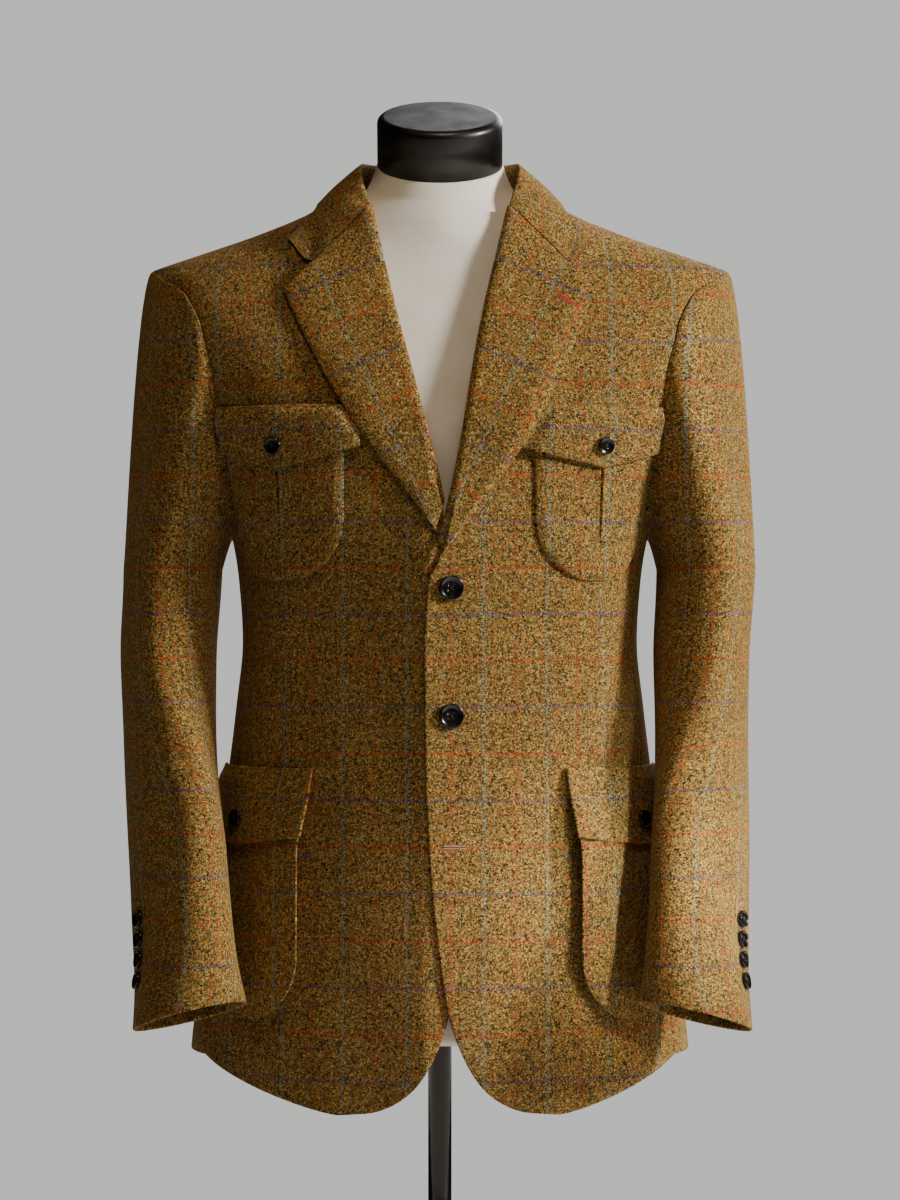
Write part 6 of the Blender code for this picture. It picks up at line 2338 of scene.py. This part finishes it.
@dataclass(frozen=True)
class Sewing:
    """Buttonholes with painted shade in their slits, painted shadow lines along the darts, and the thread
    that holds the buttons.
    """

    panels: BodyPanels
    lapels: Lapels
    sleeves: Sleeves
    buttons: Buttons
    lapel_hole: Buttonhole = Buttonhole(
        "lapel_buttonhole", (0.0962, 1.4130), (0.1128, 1.4028), ThreadShade.RED)
    front_hole: Buttonhole = Buttonhole(
        "front_buttonhole", (0.0030, 0.9674), (0.0212, 0.9672), ThreadShade.ROSE_BROWN,
        0.0010, 0.00034, 0.00038)
    cuff_hole: Buttonhole = Buttonhole(
        "cuff_buttonhole", (-0.2362, 0.8700), (-0.2310, 0.8704), ThreadShade.RED, 0.0013, 0.00036)
    dart_x: float = 0.1198
    dart_z: tuple[float, float] = (1.1000, 1.0330)
    dart_shadow_radius: float = 0.00050
    dart_sink: float = 0.3        # share of the thread's radius that is sunk in the cloth
    shank_share: float = 0.70     # level of the thread on a button, as a share of its height
    thread: float = 0.00038

    def dart(self, side: float) -> list[tuple[Array, Array]]:
        """Painted shadow line of a dart's seam: dark thread sunk in the front.

        Args:
            side: 1 for the left, -1 for the right.

        Returns:
            First and last point of each stretch.
        """
        shell = self.panels.front(side)
        line = []
        for z in np.linspace(*self.dart_z, 16):
            point, out = on_cloth(shell, side * self.dart_x, float(z))
            line.append(point - out * self.dart_shadow_radius * self.dart_sink)
        return list(zip(line, line[1:]))

    def shanks(self) -> list[tuple[Array, Array]]:
        """Crossed thread over the holes of every button.

        Returns:
            First and last point of each stretch.
        """
        found = []
        for _, shape, seat in self.buttons.seats():
            holes = shape.holes(seat) + seat.axis * shape.height * self.shank_share
            found.append((holes[0], holes[2]))
            found.append((holes[1], holes[3]))
        return found

    def build(self, room: Workroom) -> None:
        """Work the buttonholes with painted shade in their slits, lay the painted shadow lines of the darts
        and sew the buttons.

        Args:
            room: workroom that places the pieces.
        """
        cloths = (
            (self.lapel_hole, self.lapels.lapel(1.0)), (self.front_hole, self.panels.front(1.0)),
            (self.cuff_hole, self.sleeves.half(-1.0, False)),
        )
        for hole, shell in cloths:
            mesh = bars(hole.name, hole.stitches(shell), hole.twist)
            room.place(mesh, "thread_" + hole.shade.name.lower(), (), "tweed")
            # the black thread in the slit is painted shade of the open gap
            slit = bars(hole.name + "_slit", hole.slit(shell), hole.gap)
            room.place(slit, "thread_black", (), "tweed")
        for side, word in SIDES:
            # the dark thread along each dart is the painted shadow of its seam
            seam = bars("dart_seam_" + word, self.dart(side), self.dart_shadow_radius)
            room.place(seam, "thread_ground", (), "tweed")
        room.place(bars("button_threads", self.shanks(), self.thread), "thread_black", (), "horn")


@dataclass(frozen=True)
class DressForm:
    """Limbless dress form: padded torso, neck cap, pole and round base."""

    body: JacketBody
    bottom: float = 0.805
    arm_cut: float = 0.186        # flat arm plate
    blade_inset: float = 0.0030   # more room behind the shoulders
    blade_turn: tuple[float, float] = (95.0, 20.0)
    blade_z: tuple[float, float] = (1.40, 0.04)
    foot_share: float = 0.95      # the torso draws in at its foot
    cap_tilt: float = 23.0
    cap_radius: float = 0.0525
    cap_height: float = 0.042
    cap_round: float = 0.006
    pole_radius: float = 0.0098
    base_radius: float = 0.200
    base_height: float = 0.012
    base_round: float = 0.003
    seam: float = 0.0003
    count: int = 96
    inset: Table = Table(("z", "inset"), (
        (0.800, 0.0220), (1.000, 0.0160), (1.130, 0.0120), (1.300, 0.0100), (1.380, 0.0075), (1.430, 0.0058),
        (1.490, 0.0058),
    ))
    levels: tuple[float, ...] = (
        0.812, 0.86, 0.93, 1.00, 1.07, 1.13, 1.19, 1.25, 1.31, 1.36, 1.40, 1.42, 1.44, 1.456, 1.471, 1.481,
    )
    neck: Table = Table(("z", "y", "half_width", "front", "back", "power", "tilt"), (
        (1.4960, 0.0010, 0.0760, 0.0540, 0.0570, 1.80, 8.0),
        (1.5080, 0.0035, 0.0620, 0.0520, 0.0545, 1.90, 14.0),
        (1.5190, 0.0060, 0.0565, 0.0525, 0.0535, 2.00, 19.0),
        (1.5298, 0.0084, 0.0530, 0.0530, 0.0530, 2.00, 23.0),
    ))

    def torso(self) -> list[Array]:
        """Rings of the torso from its foot to the neck.

        Returns:
            The rings.
        """
        turns = tau * np.arange(self.count) / self.count
        fold = np.abs(np.angle(np.exp(1j * turns)))
        rings = []
        for z in refine(self.levels, 4):
            level = np.full(turns.shape, z)
            behind = step_up(np.degrees(fold), self.blade_turn) * step_up(level, self.blade_z)
            depth = self.inset.read("inset", level) + self.blade_inset * behind
            ring = self.body.point(fold, level) - self.body.normal(fold, level) * depth[:, None]
            ring[:, 0] = np.minimum(ring[:, 0], self.arm_cut) * np.where(turns <= pi, 1.0, -1.0)
            rings.append(ring)
        foot = rings[0] * np.array([self.foot_share, self.foot_share, 1.0])
        foot[:, 2] = self.bottom
        rings.insert(0, foot)
        for z in refine(self.neck.column("z"), 4):
            sizes = [float(self.neck.read(name, z)) for name in self.neck.columns[1:]]
            y_mid, wide, front, back, power, tilt = sizes
            depth = np.where(np.cos(turns) >= 0.0, front, back)
            r = oval(turns, wide, depth, power)
            y = -r * np.cos(turns)
            lean = radians(tilt)
            ring = [r * np.sin(turns), y_mid + y * cos(lean), z + y * sin(lean)]
            rings.append(np.stack(ring, axis=-1))
        return rings

    def cap(self) -> list[Array]:
        """Rings of the neck cap, tilted to the front.

        Returns:
            The rings.
        """
        lean = radians(self.cap_tilt)
        axis = np.array([0.0, -sin(lean), cos(lean)])
        z, y = self.neck.rows[-1][:2]
        profile = rounded(self.cap_radius, self.cap_height, self.cap_round, 6)
        return turned_rings(np.array([0.0, y, z]) + axis * self.seam, axis, profile, 72)

    def build(self, room: Workroom) -> None:
        """Build the form.

        Args:
            room: workroom that places the pieces.
        """
        up = np.array([0.0, 0.0, 1.0])
        room.place(loft_mesh("torso_cover", self.torso()), "cover", ("form_torso",), "form_cover")
        room.place(loft_mesh("neck_cap_wood", self.cap()), "wood", ("form_neck_cap",), "black_wood")
        top = self.bottom - self.base_height - 2.0 * self.seam
        rings = turned_rings(np.array([0.0, 0.0, self.base_height + self.seam]), up,
                             [(self.pole_radius, 0.0), (self.pole_radius, top)], 48)
        room.place(loft_mesh("pole_steel", rings), "steel", ("form_pole",), "black_steel")
        profile = rounded(self.base_radius, self.base_height, self.base_round, 4)
        room.place(loft_mesh("base_steel", turned_rings(np.zeros(3), up, profile, 120)), "steel",
                   ("form_base",), "black_steel")


@dataclass(frozen=True)
class Lamp:
    """Soft area light aimed at the jacket."""

    name: str
    place: tuple[float, float, float]
    aim: tuple[float, float, float]
    size: float
    power: float
    colour: str
    beam: float = 180.0           # angle of the beam, narrower with a grid on the lamp

    def build(self) -> None:
        """Hang the lamp.

        It is an area light that points from its place at its aim.
        """
        data = bpy.data.lights.new(self.name, "AREA")
        data.size = self.size
        data.energy = self.power
        data.spread = radians(self.beam)
        data.color = to_linear(self.colour)[:3]
        lamp = add_object(self.name, data)
        lamp.location = self.place
        way = Vector(self.aim) - Vector(self.place)
        lamp.rotation_euler = way.to_track_quat("-Z", "Y").to_euler()


@dataclass(frozen=True)
class Studio:
    """Pale floor, soft light and the camera at the photo's angle."""

    floor_radius: float = 3.6
    floor: str = "e4e2de"
    backdrop: str = "d3d3d2"      # what the camera sees behind the jacket
    sky: str = "ffdfb4"           # warm, weak light from all round
    sky_strength: float = 0.018
    eye: tuple[float, float, float] = (0.0085, -2.95, 1.165)
    lens: float = 105.75
    lamps: tuple[Lamp, ...] = (
        Lamp("key_lamp", (3.20, -0.98, 2.42), (0.0, 0.0, 1.10), 0.6, 195.0, "fffaf1"),
        Lamp("side_lamp", (2.2, -2.7, 1.8), (0.150, -0.10, 0.93), 0.12, 0.185, "fffaf1", 5.5),
        Lamp("top_lamp", (0.35, -1.7, 3.9), (0.0, 0.0, 1.1), 1.0, 27.0, "ffe4c0"),
        Lamp("floor_lamp", (0.9, 2.6, 2.6), (0.0, 0.9, 0.0), 1.6, 60.0, "ffffff"),
    )

    def build(self) -> None:
        """Set up the floor, the light and the camera.

        The camera sees the backdrop's grey, and the jacket is lit by the lamps and a weak sky.
        """
        angle = tau * np.arange(96) / 96
        ring = np.stack([np.cos(angle), np.sin(angle), np.zeros(96)], axis=-1) * self.floor_radius
        mesh = bpy.data.meshes.new("studio_floor")
        mesh.from_pydata(ring.tolist(), [], [list(range(96))])
        material, _ = start_material("matt_studio_floor", {
            "Base Color": to_linear(self.floor), "Roughness": 0.85, "IOR": 1.45,
        })
        mesh.materials.append(material)
        add_object("studio_floor", mesh)
        world = bpy.data.worlds.new("studio_light")
        world.use_nodes = True
        tree = world.node_tree
        add = partial(add_node, tree)
        seen = add("LightPath")["Is Camera Ray"]
        around = add("Background", inputs={0: to_linear(self.sky), 1: self.sky_strength})[0]
        behind = add("Background", inputs={0: to_linear(self.backdrop), 1: 1.0})[0]
        mixed = add("MixShader", inputs={0: seen, 1: around, 2: behind})[0]
        tree.links.new(mixed, tree.nodes["World Output"].inputs[0])
        bpy.context.scene.world = world
        for lamp in self.lamps:
            lamp.build()
        data = bpy.data.cameras.new("studio_camera")
        data.sensor_fit = "AUTO"
        data.sensor_width = 36.0
        data.lens = self.lens
        camera = add_object("studio_camera", data)
        camera.location = self.eye
        camera.rotation_euler = (pi / 2.0, 0.0, 0.0)
        bpy.context.scene.camera = camera


def corners(bounds: tuple) -> list[list[float]]:
    """Lowest and highest corner as plain lists."""
    return [list(corner) for corner in bounds]


def main() -> None:
    """Build the pieces in order, then the studio."""
    logging.basicConfig(level=logging.INFO, format="%(name)s %(message)s")
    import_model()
    finishes = {
        "tweed": Tweed().make(),
        "horn": DarkHorn().make(),
        "cover": FormCover().make(),
        "wood": BlackPaint("satin_black_lacquer", "0b0a0a", 0.38, 0.15, 0.02).make(),
        "steel": BlackPaint("semi_gloss_black_enamel", "0d0d0e", 0.15, 0.40, 0.01).make(),
    }
    for shade in ThreadShade:
        finishes["thread_" + shade.name.lower()] = SewingThread(shade).make()
    room = Workroom(finishes)
    body = JacketBody()
    panels = BodyPanels(body)
    lapels = Lapels(panels)
    sleeves = Sleeves(body)
    breast = BreastPocket(panels, lapels)
    lower = LowerPocket(panels, lapels)
    DressForm(body).build(room)
    for part in (panels, sleeves, lapels, Collar(lapels), breast, lower):
        part.build(room)
    buttons = Buttons(panels, sleeves, breast, lower)
    buttons.build(room)
    Sewing(panels, lapels, sleeves, buttons).build(room)
    Studio().build()
    LOG.info("%d pieces", len(room.made))


if __name__ == "__main__":
    main()
